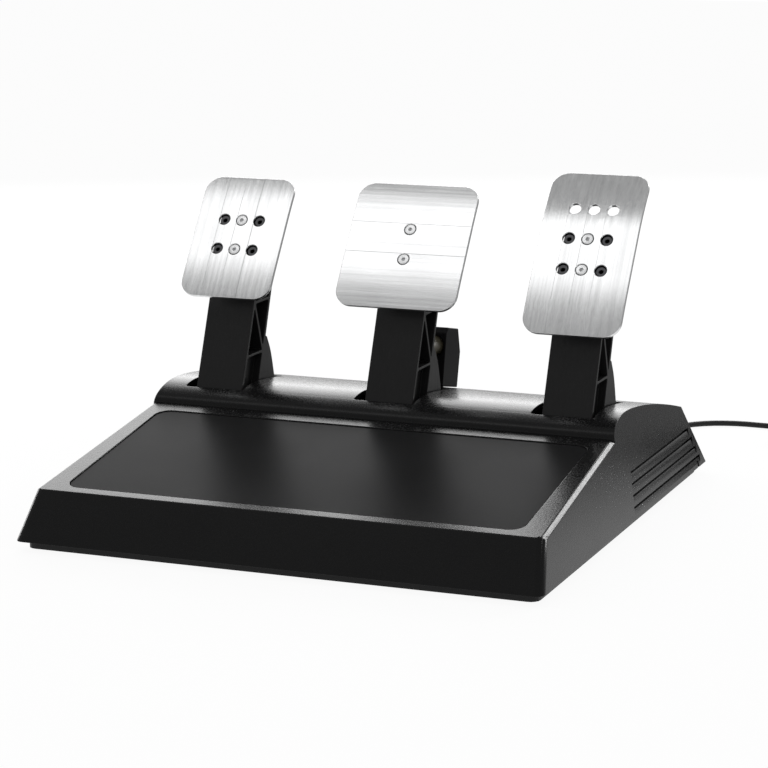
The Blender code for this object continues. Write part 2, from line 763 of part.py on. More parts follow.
def bracket_screw_places():
    """Places of the screws that hold the three brackets, as (x, y)."""
    places = []
    for _, x in PEDALS:
        for side in (LEFT_CHEEK + BRACKET_SCREW_INSET, RIGHT_CHEEK - BRACKET_SCREW_INSET):
            for back in (-BRACKET_FRONT + BRACKET_SCREW_INSET, SPRING_BACK - 0.022):
                places.append((x + side, PIVOT_Y + back))
    return places


def build_base_plate():
    """Steel plate that closes the base from below, with a skirt that stands below the shell's rim."""
    lean_side = WALL * math.hypot(1, SIDE_DRAFT) + PLATE_EDGE_GAP
    front_lean = math.hypot(FRONT_SETBACK, FRONT_HEIGHT - RIM_HEIGHT) / (FRONT_HEIGHT - RIM_HEIGHT)
    x = half_width(PLATE_TOP) - lean_side
    low = (-x, front_face_y(PLATE_TOP) + WALL * front_lean + PLATE_EDGE_GAP)
    high = (x, rear_face_y(PLATE_TOP) - WALL * rear_lean() - PLATE_EDGE_GAP)
    holes = [circle((x, FRONT_Y + back), BASE_SCREW_RADIUS + HOLE_EASE, 8) for x, back in BOSS_PLACES]
    holes += [circle(place, BRACKET_SCREW + SEAT_GAP, 8) for place in bracket_screw_places()]
    outline = rounded_rectangle(low, high, CORNER_RADIUS)
    bm = level_prism([outline, *holes], PLATE_BOTTOM, PLATE_TOP)
    plate = add_object("base_plate", finish_mesh(bm, "base_plate"), STEEL)
    x, y = OUTER_X - SKIRT_SIDE, SKIRT_END
    rings = [rounded_rectangle((wall - x, FRONT_Y + y + wall), (x - wall, REAR_Y - y - wall), SKIRT_CORNER - wall)
             for wall in (0, SKIRT_WALL)]
    boolean(plate, level_prism(rings, SKIRT_FOOT, PLATE_BOTTOM + PLATE_THICKNESS / 2), "UNION")
    top = board_low()[2] - SEAT_GAP
    boolean(plate, merged(*[moved(rod(POST_RADIUS, PLATE_BOTTOM + PLATE_THICKNESS / 2, top, 10),
                                  Matrix.Translation((x, y, 0))) for x, y in board_post_places()]), "UNION")


def socket_screw(head, head_height, shank, length, socket):
    """Screw that points down from its seat at Z = 0, with a round socket in its head."""
    top = head_height
    profile = [(0, top * 0.35), (socket, top * 0.35), (socket, top), (head, top), (head, 0), (shank, 0),
               (shank, -length), (0, -length)]
    return turned(profile, 12)


def build_feet():
    """Round rubber feet under the base plate."""
    top = PLATE_BOTTOM - SEAT_GAP
    profile = [(0, top), (FOOT_RADIUS, top), (FOOT_RADIUS, top * 0.4), (FOOT_RADIUS - 0.0012, 0), (0, 0)]
    mesh = finish_mesh(turned(profile, 16), "rubber_foot")
    for place, (x, back) in FOOT_PLACES.items():
        foot = add_object(f"rubber_foot_{place}", mesh, RUBBER)
        foot.location = (x, FRONT_Y + back, 0)


# ---- pedal arm ----

def arm_point(along, forward):
    """Point of the arm's frame as (y, z) from the pivot."""
    return (along * math.sin(ARM_LEAN) - forward * math.cos(ARM_LEAN),
            along * math.cos(ARM_LEAN) + forward * math.sin(ARM_LEAN))


def rear_forward(along):
    """Rear face of the arm, forward of the pivot's line, so below zero."""
    return -ARM_REAR + ARM_TAPER * along


def face_point(row, lift):
    """Point on the face plate's screw line as (y, z) from the pivot. row counts up from the lower screw,
    in metres, and lift is out of the plate's front face."""
    start = Vector(arm_point(SCREW_ALONG, SCREW_FORWARD))
    up = Vector((math.sin(PLATE_LEAN), math.cos(PLATE_LEAN)))
    out = Vector((-math.cos(PLATE_LEAN), math.sin(PLATE_LEAN)))
    return tuple(start + up * row + out * lift)


def face_matrix(x, row, lift):
    """Frame with Z out of the face plate and Y up along it."""
    y, z = face_point(row, lift)
    tilt = Matrix.Rotation(math.pi / 2 - PLATE_LEAN, 4, "X")
    return Matrix.Translation((x, y, z)) @ tilt


def arm_at_height(height, share):
    """Point inside the arm's pocket walls at a height above the floor: share 0 is the front wall, 1 the rear."""
    z = height - PIVOT_HEIGHT
    front = (ARM_FRONT - ARM_WALL, z)
    along = (z - front[0] * math.sin(ARM_LEAN)) / math.cos(ARM_LEAN)
    front_point = Vector(arm_point(along, front[0]))
    along = z / math.cos(ARM_LEAN)
    for _ in range(4):
        along = (z - (rear_forward(along) + ARM_WALL) * math.sin(ARM_LEAN)) / math.cos(ARM_LEAN)
    rear_point = Vector(arm_point(along, rear_forward(along) + ARM_WALL))
    return tuple(front_point.lerp(rear_point, share))


def arm_outline():
    """Side outline of the arm and its head, anticlockwise, from the hub."""
    back = FACE_THICKNESS + SEAT_GAP
    head_foot = face_point(-HEAD_BELOW, -back)
    head_top = face_point(SCREW_ROW + HEAD_ABOVE, -back)
    head_rear = face_point(SCREW_ROW + HEAD_ABOVE, -back - HEAD_DEPTH)
    neck = SCREW_ALONG - HEAD_BELOW - 0.008
    rear_top = SCREW_ALONG + SCREW_ROW * 0.6
    lean = -ARM_LEAN
    hub = arc((0, 0), ARM_FRONT, math.pi + lean, math.tau + lean, 11)
    rear = [arm_point(0.012, rear_forward(0.012)), arm_point(rear_top, rear_forward(rear_top))]
    return hub + rear + [head_rear, head_top, head_foot, arm_point(neck, ARM_FRONT)]


def bay(low, high, diagonal):
    """Pockets between two level ribs: two triangles beside a diagonal rib, or one open field."""
    low, high = low + RIB / 2, high - RIB / 2
    front_low, rear_low = arm_at_height(low, 0), arm_at_height(low, 1)
    front_high, rear_high = arm_at_height(high, 0), arm_at_height(high, 1)
    if not diagonal:
        return [[front_low, rear_low, rear_high, front_high]]
    drop = RIB * 1.9
    span = RIB * 0.45
    return [
        [front_low, shifted(rear_low, front_low, span), shifted(front_high, front_low, drop)],
        [shifted(rear_low, rear_high, drop), rear_high, shifted(front_high, rear_high, span)],
    ]


def shifted(point, towards, distance):
    """A point moved towards another by a distance."""
    start, end = Vector(point), Vector(towards)
    return tuple(start + (end - start).normalized() * distance)


def arm_pockets():
    """Cutters of the arm's side pockets on both sides."""
    cutters = []
    deep = ARM_WEB / 2
    shallow = ARM_WIDTH / 2 - LOWER_POCKET_DEPTH
    fields = [(shape, deep) for shape in bay(RIB_HEIGHTS[0], RIB_HEIGHTS[1], True)]
    fields += [(shape, deep) for shape in bay(RIB_HEIGHTS[1], RIB_HEIGHTS[2], False)]
    fields += [(shape, shallow) for shape in bay(LOWER_POCKET_FOOT, RIB_HEIGHTS[0], False)]
    for shape, inner in fields:
        for side in (-1, 1):
            ends = sorted((side * inner, side * (ARM_WIDTH / 2 + 0.001)))
            cutters.append(side_prism([shape], *ends))
    return merged(*cutters)


def fins():
    """Two fins behind the arm, which carry the spring seat between them."""
    root_high = arm_point(FIN_ROOT, rear_forward(FIN_ROOT) + ARM_WALL / 2)
    root_low = arm_point(0.004, rear_forward(0.0) + 0.004)
    outline = [root_low, (FIN_PROFILE[-1][0] - 0.003, LEVER_FOOT), *reversed(FIN_PROFILE), root_high]
    inner = ARM_WIDTH / 2 - FIN_THICKNESS
    left = side_prism([outline], -ARM_WIDTH / 2, -inner)
    right = side_prism([outline], inner, ARM_WIDTH / 2)
    return merged(left, right)


def spring_seat():
    """Level bridge between the fins, with a stub that centres the spring."""
    front = arm_point(0.012, rear_forward(0.012) + ARM_WALL)[0]
    inner = ARM_WIDTH / 2 - FIN_THICKNESS / 2
    bridge = box((-inner, front, SEAT_HEIGHT), (inner, SPRING_BACK + SPRING_RADIUS, SEAT_HEIGHT + SEAT_THICKNESS))
    return bridge


def seat_stub():
    """Stub under the spring seat."""
    stub = rod(GUIDE_RADIUS, SEAT_HEIGHT - 0.003, SEAT_HEIGHT + SEAT_THICKNESS / 2, 16)
    return moved(stub, Matrix.Translation((0, SPRING_BACK, 0)))


def screw_hole_places():
    """Frames of the six screw holes in an arm's head, with Z out of the mounting face."""
    return [face_matrix(column * SCREW_COLUMN, row * SCREW_ROW, -FACE_THICKNESS - SEAT_GAP)
            for row in (0, 1) for column in (-1, 0, 1)]


def build_arm(name, parent):
    """Moulded arm: hub, truss-ribbed stem, head, fins and spring seat."""
    half = ARM_WIDTH / 2
    arm = add_object(f"{name}_arm", finish_mesh(side_prism([arm_outline()], -half, half), "arm"),
                     ARM_PLASTIC, parent)
    boolean(arm, arm_pockets())
    boolean(arm, fins(), "UNION")
    boolean(arm, spring_seat(), "UNION")
    boolean(arm, seat_stub(), "UNION")
    bore = moved(rod(HUB_BORE, -half - 0.001, half + 0.001, 14), across_x())
    holes = [moved(rod(SCREW_HOLE, -SCREW_HOLE_DEPTH, 0.003, 8), place) for place in screw_hole_places()]
    boolean(arm, merged(bore, *holes))
    return arm


FACES = {
    "clutch": {"width": 0.0632, "below": 0.0350, "above": 0.0300, "rows": 2, "columns": 3, "bend": 0.30},
    "brake": {"width": 0.0814, "below": 0.0352, "above": 0.0308, "rows": 2, "columns": 1, "bend": 0.30},
    "throttle": {"width": 0.0632, "below": 0.0440, "above": 0.0490, "rows": 3, "columns": 3, "bend": 0.18},
}
FACE_FOOT_BEND = 0.45    # radius of the slight bend below the screws
FACE_STRIP = 0.0120      # the bend's facets


def bend_face(bm, face):
    """Curl a flat face plate away from the driver above the upper screw and below the lower one."""
    top_start, foot_start = SCREW_ROW + FACE_HOLE, -FACE_HOLE
    strips = int((face["above"] + SCREW_ROW + face["below"]) / FACE_STRIP)
    for i in range(strips + 1):
        level = -face["below"] + FACE_STRIP * i
        if foot_start < level < top_start and abs(level - foot_start) > FACE_STRIP:
            continue
        bmesh.ops.bisect_plane(bm, geom=[*bm.verts, *bm.edges, *bm.faces], dist=1e-7,
                               plane_co=(0, level, 0), plane_no=(0, 1, 0))
    for vert in bm.verts:
        for start, radius, sign in ((top_start, face["bend"], 1), (foot_start, FACE_FOOT_BEND, -1)):
            run = sign * (vert.co.y - start)
            if run > 0:
                turn = run / radius
                height = radius + vert.co.z
                vert.co.y = start + sign * height * math.sin(turn)
                vert.co.z = height * math.cos(turn) - radius
    return bm


def build_face(name, parent):
    """Brushed face plate with its holes."""
    face = FACES[name]
    half = face["width"] / 2
    low, high = (-half, -face["below"]), (half, SCREW_ROW + face["above"])
    loops = [rounded_rectangle(low, high, FACE_CORNER, 5)]
    reach = face["columns"] // 2
    for row in range(face["rows"]):
        for column in range(-reach, reach + 1):
            screwed = column == 0 and row < 2
            radius = FACE_SCREW_SHANK + SEAT_GAP if screwed else FACE_HOLE
            loops.append(circle((column * SCREW_COLUMN, row * SCREW_ROW), radius, 12))
    bm = flat_prism(loops, FACE_THICKNESS)
    bmesh.ops.translate(bm, vec=(0, 0, -FACE_THICKNESS / 2), verts=bm.verts)
    bm = moved(bend_face(bm, face), face_matrix(0, 0, 0))
    plate = add_object(f"{name}_face_plate", finish_mesh(bm, "face_plate"), BRUSHED, parent)
    depth = FACE_SCREW_HEAD_HEIGHT + SEAT_GAP
    counterbores = [moved(rod(FACE_HOLE, -depth, 0.003, 12), face_matrix(0, row * SCREW_ROW, 0))
                    for row in (0, 1)]
    boolean(plate, merged(*counterbores))


def build_face_screws(name, parent):
    """Two socket screws, let in flush with the face plate."""
    length = FACE_THICKNESS - FACE_SCREW_HEAD_HEIGHT + SCREW_HOLE_DEPTH - 0.001
    for row, place in enumerate(("lower", "upper")):
        screw = socket_screw(FACE_SCREW_HEAD, FACE_SCREW_HEAD_HEIGHT, FACE_SCREW_SHANK, length, FACE_SCREW_SOCKET)
        screw = moved(screw, face_matrix(0, row * SCREW_ROW, -FACE_SCREW_HEAD_HEIGHT))
        add_object(f"{name}_face_screw_{place}", finish_mesh(screw, "face_screw"), STEEL, parent)


# ---- bracket, pin and spring ----

def floor_z():
    """Top of the bracket's floor from the pivot."""
    return BRACKET_TOP - PIVOT_HEIGHT


def sensor_place():
    """Pinion's axis as (y, z) from the pivot."""
    distance = GEAR_MODULE * (SECTOR_TEETH + PINION_TEETH) / 2
    return distance * math.cos(SENSOR_ANGLE), distance * math.sin(SENSOR_ANGLE)


def cheek_outline():
    """Side outline of a cheek, anticlockwise."""
    low = DECK - PIVOT_HEIGHT
    rear_top = floor_z() + CHEEK_REAR_HEIGHT
    ear = arc((0, 0), CHEEK_EAR, math.radians(60), math.radians(180), 8)
    return [(-BRACKET_FRONT, low), (BRACKET_REAR, low), (BRACKET_REAR, rear_top - 0.006),
            (BRACKET_REAR - 0.006, rear_top), *ear, (-BRACKET_FRONT, floor_z() + 0.004)]


def build_bracket(name, parent):
    """Folded steel bracket with two cheeks."""
    low = DECK - PIVOT_HEIGHT
    left, right = LEFT_CHEEK - CHEEK, RIGHT_CHEEK + CHEEK
    pin_hole = circle((0, 0), PIN_RADIUS + SEAT_GAP)
    sensor_hole = circle(sensor_place(), SENSOR_BUSH + SEAT_GAP, 12)
    bracket = add_object(f"{name}_bracket",
                         finish_mesh(box((left, -BRACKET_FRONT, low), (right, BRACKET_REAR, floor_z())), "bracket"),
                         STEEL, parent)
    boolean(bracket, side_prism([cheek_outline(), pin_hole, sensor_hole], left, LEFT_CHEEK), "UNION")
    boolean(bracket, side_prism([cheek_outline(), pin_hole], RIGHT_CHEEK, right), "UNION")
    x = parent.location.x
    holes = [moved(rod(BRACKET_SCREW + SEAT_GAP, low - 0.001, floor_z() + 0.001, 6),
                   Matrix.Translation((place[0] - x, place[1] - PIVOT_Y, 0)))
             for place in bracket_screw_places() if abs(place[0] - x) < PEDAL_PITCH / 2]
    boolean(bracket, merged(*holes))


def build_pin(name, parent):
    """Pivot pin with a head on the right and a grooved tail on the left."""
    head = RIGHT_CHEEK + CHEEK + SEAT_GAP
    clip = LEFT_CHEEK - CHEEK - SEAT_GAP
    groove = (clip - CLIP_THICKNESS - SEAT_GAP, clip + SEAT_GAP)
    tail = groove[0] - PIN_TAIL
    thin = PIN_RADIUS - GROOVE_DEPTH
    profile = [(0, head + PIN_HEAD_HEIGHT), (PIN_HEAD - 0.0006, head + PIN_HEAD_HEIGHT),
               (PIN_HEAD, head + PIN_HEAD_HEIGHT - 0.0006), (PIN_HEAD, head), (PIN_RADIUS, head),
               (PIN_RADIUS, groove[1]), (thin, groove[1]), (thin, groove[0]), (PIN_RADIUS, groove[0]),
               (PIN_RADIUS, tail + 0.0005), (PIN_RADIUS - 0.0005, tail), (0, tail)]
    add_object(f"{name}_pivot_pin", finish_mesh(moved(turned(profile, 12), across_x()), "pin"), STEEL, parent)
    ring = arc((0, 0), CLIP_RADIUS, math.radians(-60), math.radians(240), 15)
    ring += arc((0, 0), thin + SEAT_GAP, math.radians(240), math.radians(-60), 15)
    shape = side_prism([ring], clip - CLIP_THICKNESS, clip)
    add_object(f"{name}_pin_clip", finish_mesh(shape, "clip"), SPRING_STEEL, parent)


def build_bush(name, parent):
    """Plain bush through the arm's hub."""
    end = ARM_WIDTH / 2 - SEAT_GAP
    bore = PIN_RADIUS + SEAT_GAP
    profile = [(bore, end), (BUSH_RADIUS, end), (BUSH_RADIUS, -end), (bore, -end)]
    shape = moved(turned(profile, closed=True), across_x())
    add_object(f"{name}_hub_bush", finish_mesh(shape, "bush"), BRONZE, parent)


def build_spring(name, parent):
    """Return spring between its guide post and the seat on the lever."""
    flange_top = floor_z() + SEAT_GAP + GUIDE_FLANGE_HEIGHT
    low = flange_top + SEAT_GAP + SPRING_WIRE
    high = SEAT_HEIGHT - SEAT_GAP - SPRING_WIRE
    count = round(SPRING_TURNS * SPRING_STEPS)
    points = []
    for i in range(count + 1):
        turn = i / SPRING_STEPS
        rise = min(max(turn - 0.5, 0), SPRING_TURNS - 1) / (SPRING_TURNS - 1)
        angle = math.tau * turn
        points.append((SPRING_RADIUS * math.cos(angle), SPRING_BACK + SPRING_RADIUS * math.sin(angle),
                       low + (high - low) * rise))
    bm = tube(points, SPRING_WIRE, 1)
    add_object(f"{name}_return_spring", finish_mesh(bm, "spring"), SPRING_STEEL, parent)
    seat = floor_z() + SEAT_GAP
    profile = [(0, seat + GUIDE_HEIGHT), (GUIDE_RADIUS - 0.001, seat + GUIDE_HEIGHT),
               (GUIDE_RADIUS, seat + GUIDE_HEIGHT - 0.001), (GUIDE_RADIUS, flange_top),
               (GUIDE_FLANGE, flange_top), (GUIDE_FLANGE, seat), (0, seat)]
    guide = moved(turned(profile, 16), Matrix.Translation((0, SPRING_BACK, 0)))
    add_object(f"{name}_spring_guide", finish_mesh(guide, "guide"), ARM_PLASTIC, parent)


# ---- gears and sensor ----

def involute(radius):
    """How far an involute flank has turned where its pressure angle is that of a radius's cosine."""
    return math.tan(radius) - radius


def gear_radii(teeth):
    """Root, pitch and tip radius."""
    pitch = GEAR_MODULE * teeth / 2
    return pitch - GEAR_DEDENDUM * GEAR_MODULE, pitch, pitch + GEAR_ADDENDUM * GEAR_MODULE


def tooth(teeth, centre):
    """Outline of one tooth about an angle, as (radius, angle) points from its lower to its upper flank."""
    root, pitch, tip = gear_radii(teeth)
    base = pitch * math.cos(PRESSURE_ANGLE)
    half = math.pi / 2 / teeth - GEAR_BACKLASH / 2 / pitch + involute(PRESSURE_ANGLE)
    flank = [(root, half - involute(math.acos(min(1, base / max(base, root)))))]
    start = max(base, root)
    for i in range(3):
        radius = start + (tip - start) * i / 2
        flank.append((radius, half - involute(math.acos(base / radius))))
    if root >= base:
        flank = flank[1:]
    return [(r, centre - a) for r, a in flank] + [(r, centre + a) for r, a in reversed(flank)]


def polar(points):
    """Flat points from (radius, angle)."""
    return [(r * math.cos(a), r * math.sin(a)) for r, a in points]


def sector_outline():
    """Toothed sector on the arm's hub. A gap between its teeth faces the sensor at rest."""
    step = math.tau / SECTOR_TEETH
    low = SENSOR_ANGLE - SECTOR_MARGIN
    high = SENSOR_ANGLE + PEDAL_TRAVEL + SECTOR_MARGIN
    first = math.ceil((low - SENSOR_ANGLE) / step)
    last = math.floor((high - SENSOR_ANGLE) / step)
    points = []
    for index in range(first, last):
        points += tooth(SECTOR_TEETH, SENSOR_ANGLE + (index + 0.5) * step)
    root = gear_radii(SECTOR_TEETH)[0]
    points = [(root, points[0][1] - step / 3)] + points + [(root, points[-1][1] + step / 3)]
    start, end = points[-1][1] + math.radians(25), points[0][1] + math.tau - math.radians(25)
    count = 12
    points += [(SECTOR_HUB, start + (end - start) * i / (count - 1)) for i in range(count)]
    return polar(points)


def pinion_outline():
    """Small gear on the sensor's shaft, with a tooth that faces the pivot at rest."""
    step = math.tau / PINION_TEETH
    points = []
    for index in range(PINION_TEETH):
        points += tooth(PINION_TEETH, SENSOR_ANGLE + math.pi + index * step)
    return polar(points)


def build_gears(name, parent, sensor_parent):
    """Sector on the arm, and pinion with its shaft on the sensor."""
    outer = -ARM_WIDTH / 2 - SEAT_GAP
    hole = circle((0, 0), PIN_RADIUS + SEAT_GAP)
    sector = side_prism([sector_outline(), hole], outer - GEAR_WIDTH, outer)
    add_object(f"{name}_sensor_sector", finish_mesh(sector, "sector", 0.3), GEAR_PLASTIC, parent)
    pinion = side_prism([pinion_outline()], outer - GEAR_WIDTH, outer - SEAT_GAP)
    gear = add_object(f"{name}_sensor_pinion", finish_mesh(pinion, "pinion", 0.3), GEAR_PLASTIC, sensor_parent)
    shaft_end = LEFT_CHEEK - CHEEK - SEAT_GAP - SHAFT_DEPTH
    shaft = moved(rod(SENSOR_SHAFT, shaft_end, outer - GEAR_WIDTH / 2, 14), across_x())
    boolean(gear, shaft, "UNION")


def build_sensor(name, parent):
    """Rotary sensor outside the left cheek, with its bush through the cheek and three terminals."""
    face = LEFT_CHEEK - CHEEK - SEAT_GAP
    bore = SENSOR_SHAFT + SEAT_GAP
    bush_end = LEFT_CHEEK - SEAT_GAP
    floor = face - SHAFT_DEPTH - SEAT_GAP
    profile = [(0, floor), (bore, floor), (bore, bush_end), (SENSOR_BUSH, bush_end), (SENSOR_BUSH, face),
               (SENSOR_RADIUS, face), (SENSOR_RADIUS, face - SENSOR_LENGTH), (0, face - SENSOR_LENGTH)]
    y, z = sensor_place()
    body = moved(turned(profile, 14), across_x(0, y, z))
    sensor = add_object(f"{name}_sensor", finish_mesh(body, "sensor"), DARK_STEEL, parent)
    middle = face - SENSOR_LENGTH / 2
    for offset in (-1, 0, 1):
        low = (middle - TERMINAL / 2, y + SENSOR_RADIUS - 0.001, z + offset * 2.5 * TERMINAL - TERMINAL / 2)
        high = (middle + TERMINAL / 2, y + SENSOR_RADIUS + 0.004, low[2] + TERMINAL)
        boolean(sensor, box(low, high), "UNION")


def add_empty(name, place):
    """Empty on an axis."""
    empty = bpy.data.objects.new(name, None)
    empty.location = place
    empty.empty_display_size = 0.01
    PARTS.objects.link(empty)
    return empty


def build_pedal(name, x):
    """One pedal with everything that carries it, returns it and reads it."""
    mount = add_empty(f"{name}_mount", (x, PIVOT_Y, PIVOT_HEIGHT))
    pivot = add_empty(f"{name}_pivot", (x, PIVOT_Y, PIVOT_HEIGHT))
    y, z = sensor_place()
    sensor_axis = add_empty(f"{name}_sensor_axis", (x, PIVOT_Y + y, PIVOT_HEIGHT + z))
    bpy.context.view_layer.update()
    build_bracket(name, mount)
    build_pin(name, mount)
    build_spring(name, mount)
    build_sensor(name, mount)
    build_arm(name, pivot)
    build_bush(name, pivot)
    build_face(name, pivot)
    build_face_screws(name, pivot)
    build_gears(name, pivot, sensor_axis)


# ---- brake stop ----

def stop_matrix(back=0.0, lift=0.0, x=BRAKE_X):
    """Frame on the roof at the brake stop's front: Y along the roof to the rear, Z square to the roof."""
    y = FRONT_Y + STOP_FRONT
    middle = y + STOP_DEPTH / 2
    angle = roof_angle(middle)
    foot = Vector((x, y, roof_height(y)))
    turn = Matrix.Translation(foot) @ Matrix.Rotation(angle, 4, "X")
    return turn @ Matrix.Translation((0, back, lift))


def stop_screw_places():
    """Frames of the two screws that hold the brake stop, with Z out of the roof."""
    return [stop_matrix(STOP_DEPTH / 2 + side * 0.0075) for side in (-1, 1)]


def build_brake_stop():
    """Block on the roof with a bore that holds the cone-shaped bumper."""
    foot = 2 * SEAT_GAP
    outline = [(0, foot), (STOP_DEPTH, foot), (STOP_DEPTH + 0.001, STOP_HEIGHT - STOP_CHAMFER_DOWN),
               (STOP_DEPTH - STOP_CHAMFER_BACK, STOP_HEIGHT), (STOP_FRONT_CUT, STOP_HEIGHT),
               (0, STOP_HEIGHT - STOP_FRONT_CUT)]
    bm = moved(side_prism([outline], -STOP_WIDTH / 2, STOP_WIDTH / 2), stop_matrix())
    block = add_object("brake_stop_block", finish_mesh(bm, "block"), ARM_PLASTIC)
    centre = stop_matrix(0, BUMPER_LIFT).translation
    bore = rod(STOP_BORE, -0.01, STOP_BORE_DEPTH, 20)
    holes = [moved(rod(STOP_SCREW + SEAT_GAP, -0.002, STOP_SCREW_GRIP + SLIDE_GAP, 12), place)
             for place in stop_screw_places()]
    boolean(block, merged(moved(bore, back_y(*centre)), *holes))
    build_bumper(centre)


def build_bumper(centre):
    """Rubber cone whose tip meets the brake arm's rear face at the end of its travel."""
    collar = STOP_BORE - SEAT_GAP
    seat = STOP_BORE_DEPTH - 3 * SEAT_GAP
    tip = centre.y - bumper_tip_y(centre.z)
    profile = [(0, -tip), (BUMPER_TIP * 0.7, -tip), (BUMPER_TIP, -tip + 0.0015), (collar, seat - BUMPER_COLLAR),
               (collar, seat), (0, seat)]
    add_object("brake_stop_bumper", finish_mesh(moved(turned(profile, 18), back_y(*centre)), "bumper"), RUBBER)


def bumper_tip_y(height):
    """Where the pressed brake arm's rear face stands at the bumper's upper edge."""
    lean = ARM_LEAN + BRAKE_TRAVEL
    top = height + BUMPER_TIP - PIVOT_HEIGHT
    along = top / math.cos(lean)
    for _ in range(4):
        along = (top - rear_forward(along) * math.sin(lean)) / math.cos(lean)
    return PIVOT_Y + along * math.sin(lean) - rear_forward(along) * math.cos(lean) + 2 * SEAT_GAP


# ---- board and inner leads ----

def board_low():
    """Lowest corner of the circuit board."""
    return (BOARD_CENTRE[0] - BOARD[0] / 2, FRONT_Y + BOARD_CENTRE[1] - BOARD[1] / 2,
            DECK + BOARD_LIFT)


def board_post_places():
    """Places of the board's four posts, as (x, y)."""
    low = board_low()
    return [(low[0] + a, low[1] + b) for a in (BOARD_HOLE_INSET, BOARD[0] - BOARD_HOLE_INSET)
            for b in (BOARD_HOLE_INSET, BOARD[1] - BOARD_HOLE_INSET)]


def socket_places():
    """Front middles of the board's three sensor sockets, as (x, y, z)."""
    low = board_low()
    return [(low[0] + BOARD[0] * share, low[1] + 0.0006, low[2] + BOARD[2] + 0.003) for share in (0.28, 0.5, 0.72)]


def build_board():
    """Circuit board with its chip and sockets, on the base plate's posts."""
    low = board_low()
    high = tuple(a + b for a, b in zip(low, BOARD))
    holes = [circle(place, BOARD_SCREW + SEAT_GAP, 8) for place in board_post_places()]
    sheet = level_prism([rounded_rectangle(low[:2], high[:2], 0.0015, 2), *holes], low[2], high[2])
    board = add_object("circuit_board", finish_mesh(sheet, "board"), BOARD_GREEN)
    top = high[2] - 0.0004
    chip = Vector((low[0] + CHIP_INSET[0], low[1] + CHIP_INSET[1], top))
    boolean(board, box(chip, chip + Vector(CHIP)), "UNION")
    for x, y, z in socket_places():
        boolean(board, box((x - SOCKET_WIDTH / 2, y, top), (x + SOCKET_WIDTH / 2, y + SOCKET_DEPTH, z + 0.0025)),
                "UNION")
    port = Vector((high[0] - PORT[0] - PORT_INSET, high[1] - PORT[1] - SLIDE_GAP, top))
    boolean(board, box(port, port + Vector(PORT)), "UNION")


def smooth_points(route, spacing):
    """Points on a smooth curve through a route's own points, at about a spacing."""
    nodes = [Vector(point) for point in route]
    nodes = [nodes[0] * 2 - nodes[1], *nodes, nodes[-1] * 2 - nodes[-2]]
    points = [nodes[1]]
    for before, start, end, after in zip(nodes, nodes[1:], nodes[2:], nodes[3:]):
        count = max(1, round((end - start).length / spacing))
        for i in range(1, count + 1):
            t = i / count
            points.append(0.5 * (2 * start + (end - before) * t + (2 * before - 5 * start + 4 * end - after) * t ** 2
                                 + (3 * start - before - 3 * end + after) * t ** 3))
    return points


def build_sensor_leads():
    """Leads from the three sensors to the board, along the base plate."""
    rest = DECK + LEAD_RADIUS
    y, z = sensor_place()
    lanes = (0.008, 0.004, 0.0)
    for (name, x), (socket_x, socket_y, socket_z), lane in zip(PEDALS, socket_places(), lanes):
        start_x = x + LEFT_CHEEK - CHEEK - SEAT_GAP - SENSOR_LENGTH / 2
        start = Vector((start_x, PIVOT_Y + y + SENSOR_RADIUS + 0.004 + SEAT_GAP, PIVOT_HEIGHT + z))
        turn_y = PIVOT_Y + BRACKET_REAR + 0.005 + lane
        route = [start, start + Vector((0, 0.006, -0.001)), (start_x, start.y + 0.013, rest + 0.004)]
        if abs(socket_x - start_x) > 0.03:
            side = math.copysign(0.012, socket_x - start_x)
            route += [(start_x + side * 0.4, turn_y, rest), (start_x + side * 2, turn_y + 0.002, rest),
                      (socket_x - side * 2, turn_y + 0.002, rest)]
        route += [(socket_x, socket_y - 0.010, rest + 0.002), (socket_x, socket_y - 0.004, socket_z - 0.001),
                  (socket_x, socket_y - SEAT_GAP, socket_z)]
        lead = tube(smooth_points(route, 0.012), LEAD_RADIUS, 1)
        add_object(f"{name}_sensor_lead", finish_mesh(lead, "sensor_lead"), CORD_PLASTIC)


# ---- main lead ----

def relief_ends():
    """Inner and outer end of the strain relief, along Y. Its collar clears the leaning wall."""
    wall = rear_face_y(EXIT_HEIGHT + RELIEF_COLLAR) - WALL * rear_lean()
    return wall - SEAT_GAP - RELIEF_COLLAR_THICKNESS, rear_face_y(EXIT_HEIGHT) + RELIEF_LENGTH


def build_relief():
    """Tapered bush in the rear wall that holds the lead."""
    inner, outer = relief_ends()
    body_end = rear_face_y(EXIT_HEIGHT - RELIEF_BODY) + 0.002
    bore = CORD_DIAMETER / 2 + SEAT_GAP
    collar = inner + RELIEF_COLLAR_THICKNESS
    profile = [(bore, outer), (RELIEF_TIP, outer), (RELIEF_BODY, body_end), (RELIEF_BODY, collar),
               (RELIEF_COLLAR, collar), (RELIEF_COLLAR, inner), (bore, inner)]
    bm = moved(turned(profile, 16, closed=True), back_y(EXIT_X, 0, EXIT_HEIGHT))
    add_object("strain_relief", finish_mesh(bm, "strain_relief"), RUBBER)


def build_inner_lead():
    """Fixed end of the main lead, from the board's socket into the strain relief."""
    low = board_low()
    start = Vector((low[0] + BOARD[0] - 0.0115, low[1] + BOARD[1] - 0.0005 + SEAT_GAP, low[2] + BOARD[2] + 0.0035))
    inner = relief_ends()[0]
    end = rear_face_y(EXIT_HEIGHT) - SEAT_GAP
    route = [start, start + Vector((0.0003, 0.005, 0)), (EXIT_X - 0.0025, inner - 0.009, EXIT_HEIGHT),
             (EXIT_X, inner - 0.003, EXIT_HEIGHT), (EXIT_X, inner + 0.003, EXIT_HEIGHT), (EXIT_X, end, EXIT_HEIGHT)]
    bm = tube(smooth_points(route, 0.008), CORD_DIAMETER / 2, 2)
    add_object("inner_lead", finish_mesh(bm, "inner_lead"), CORD_PLASTIC)


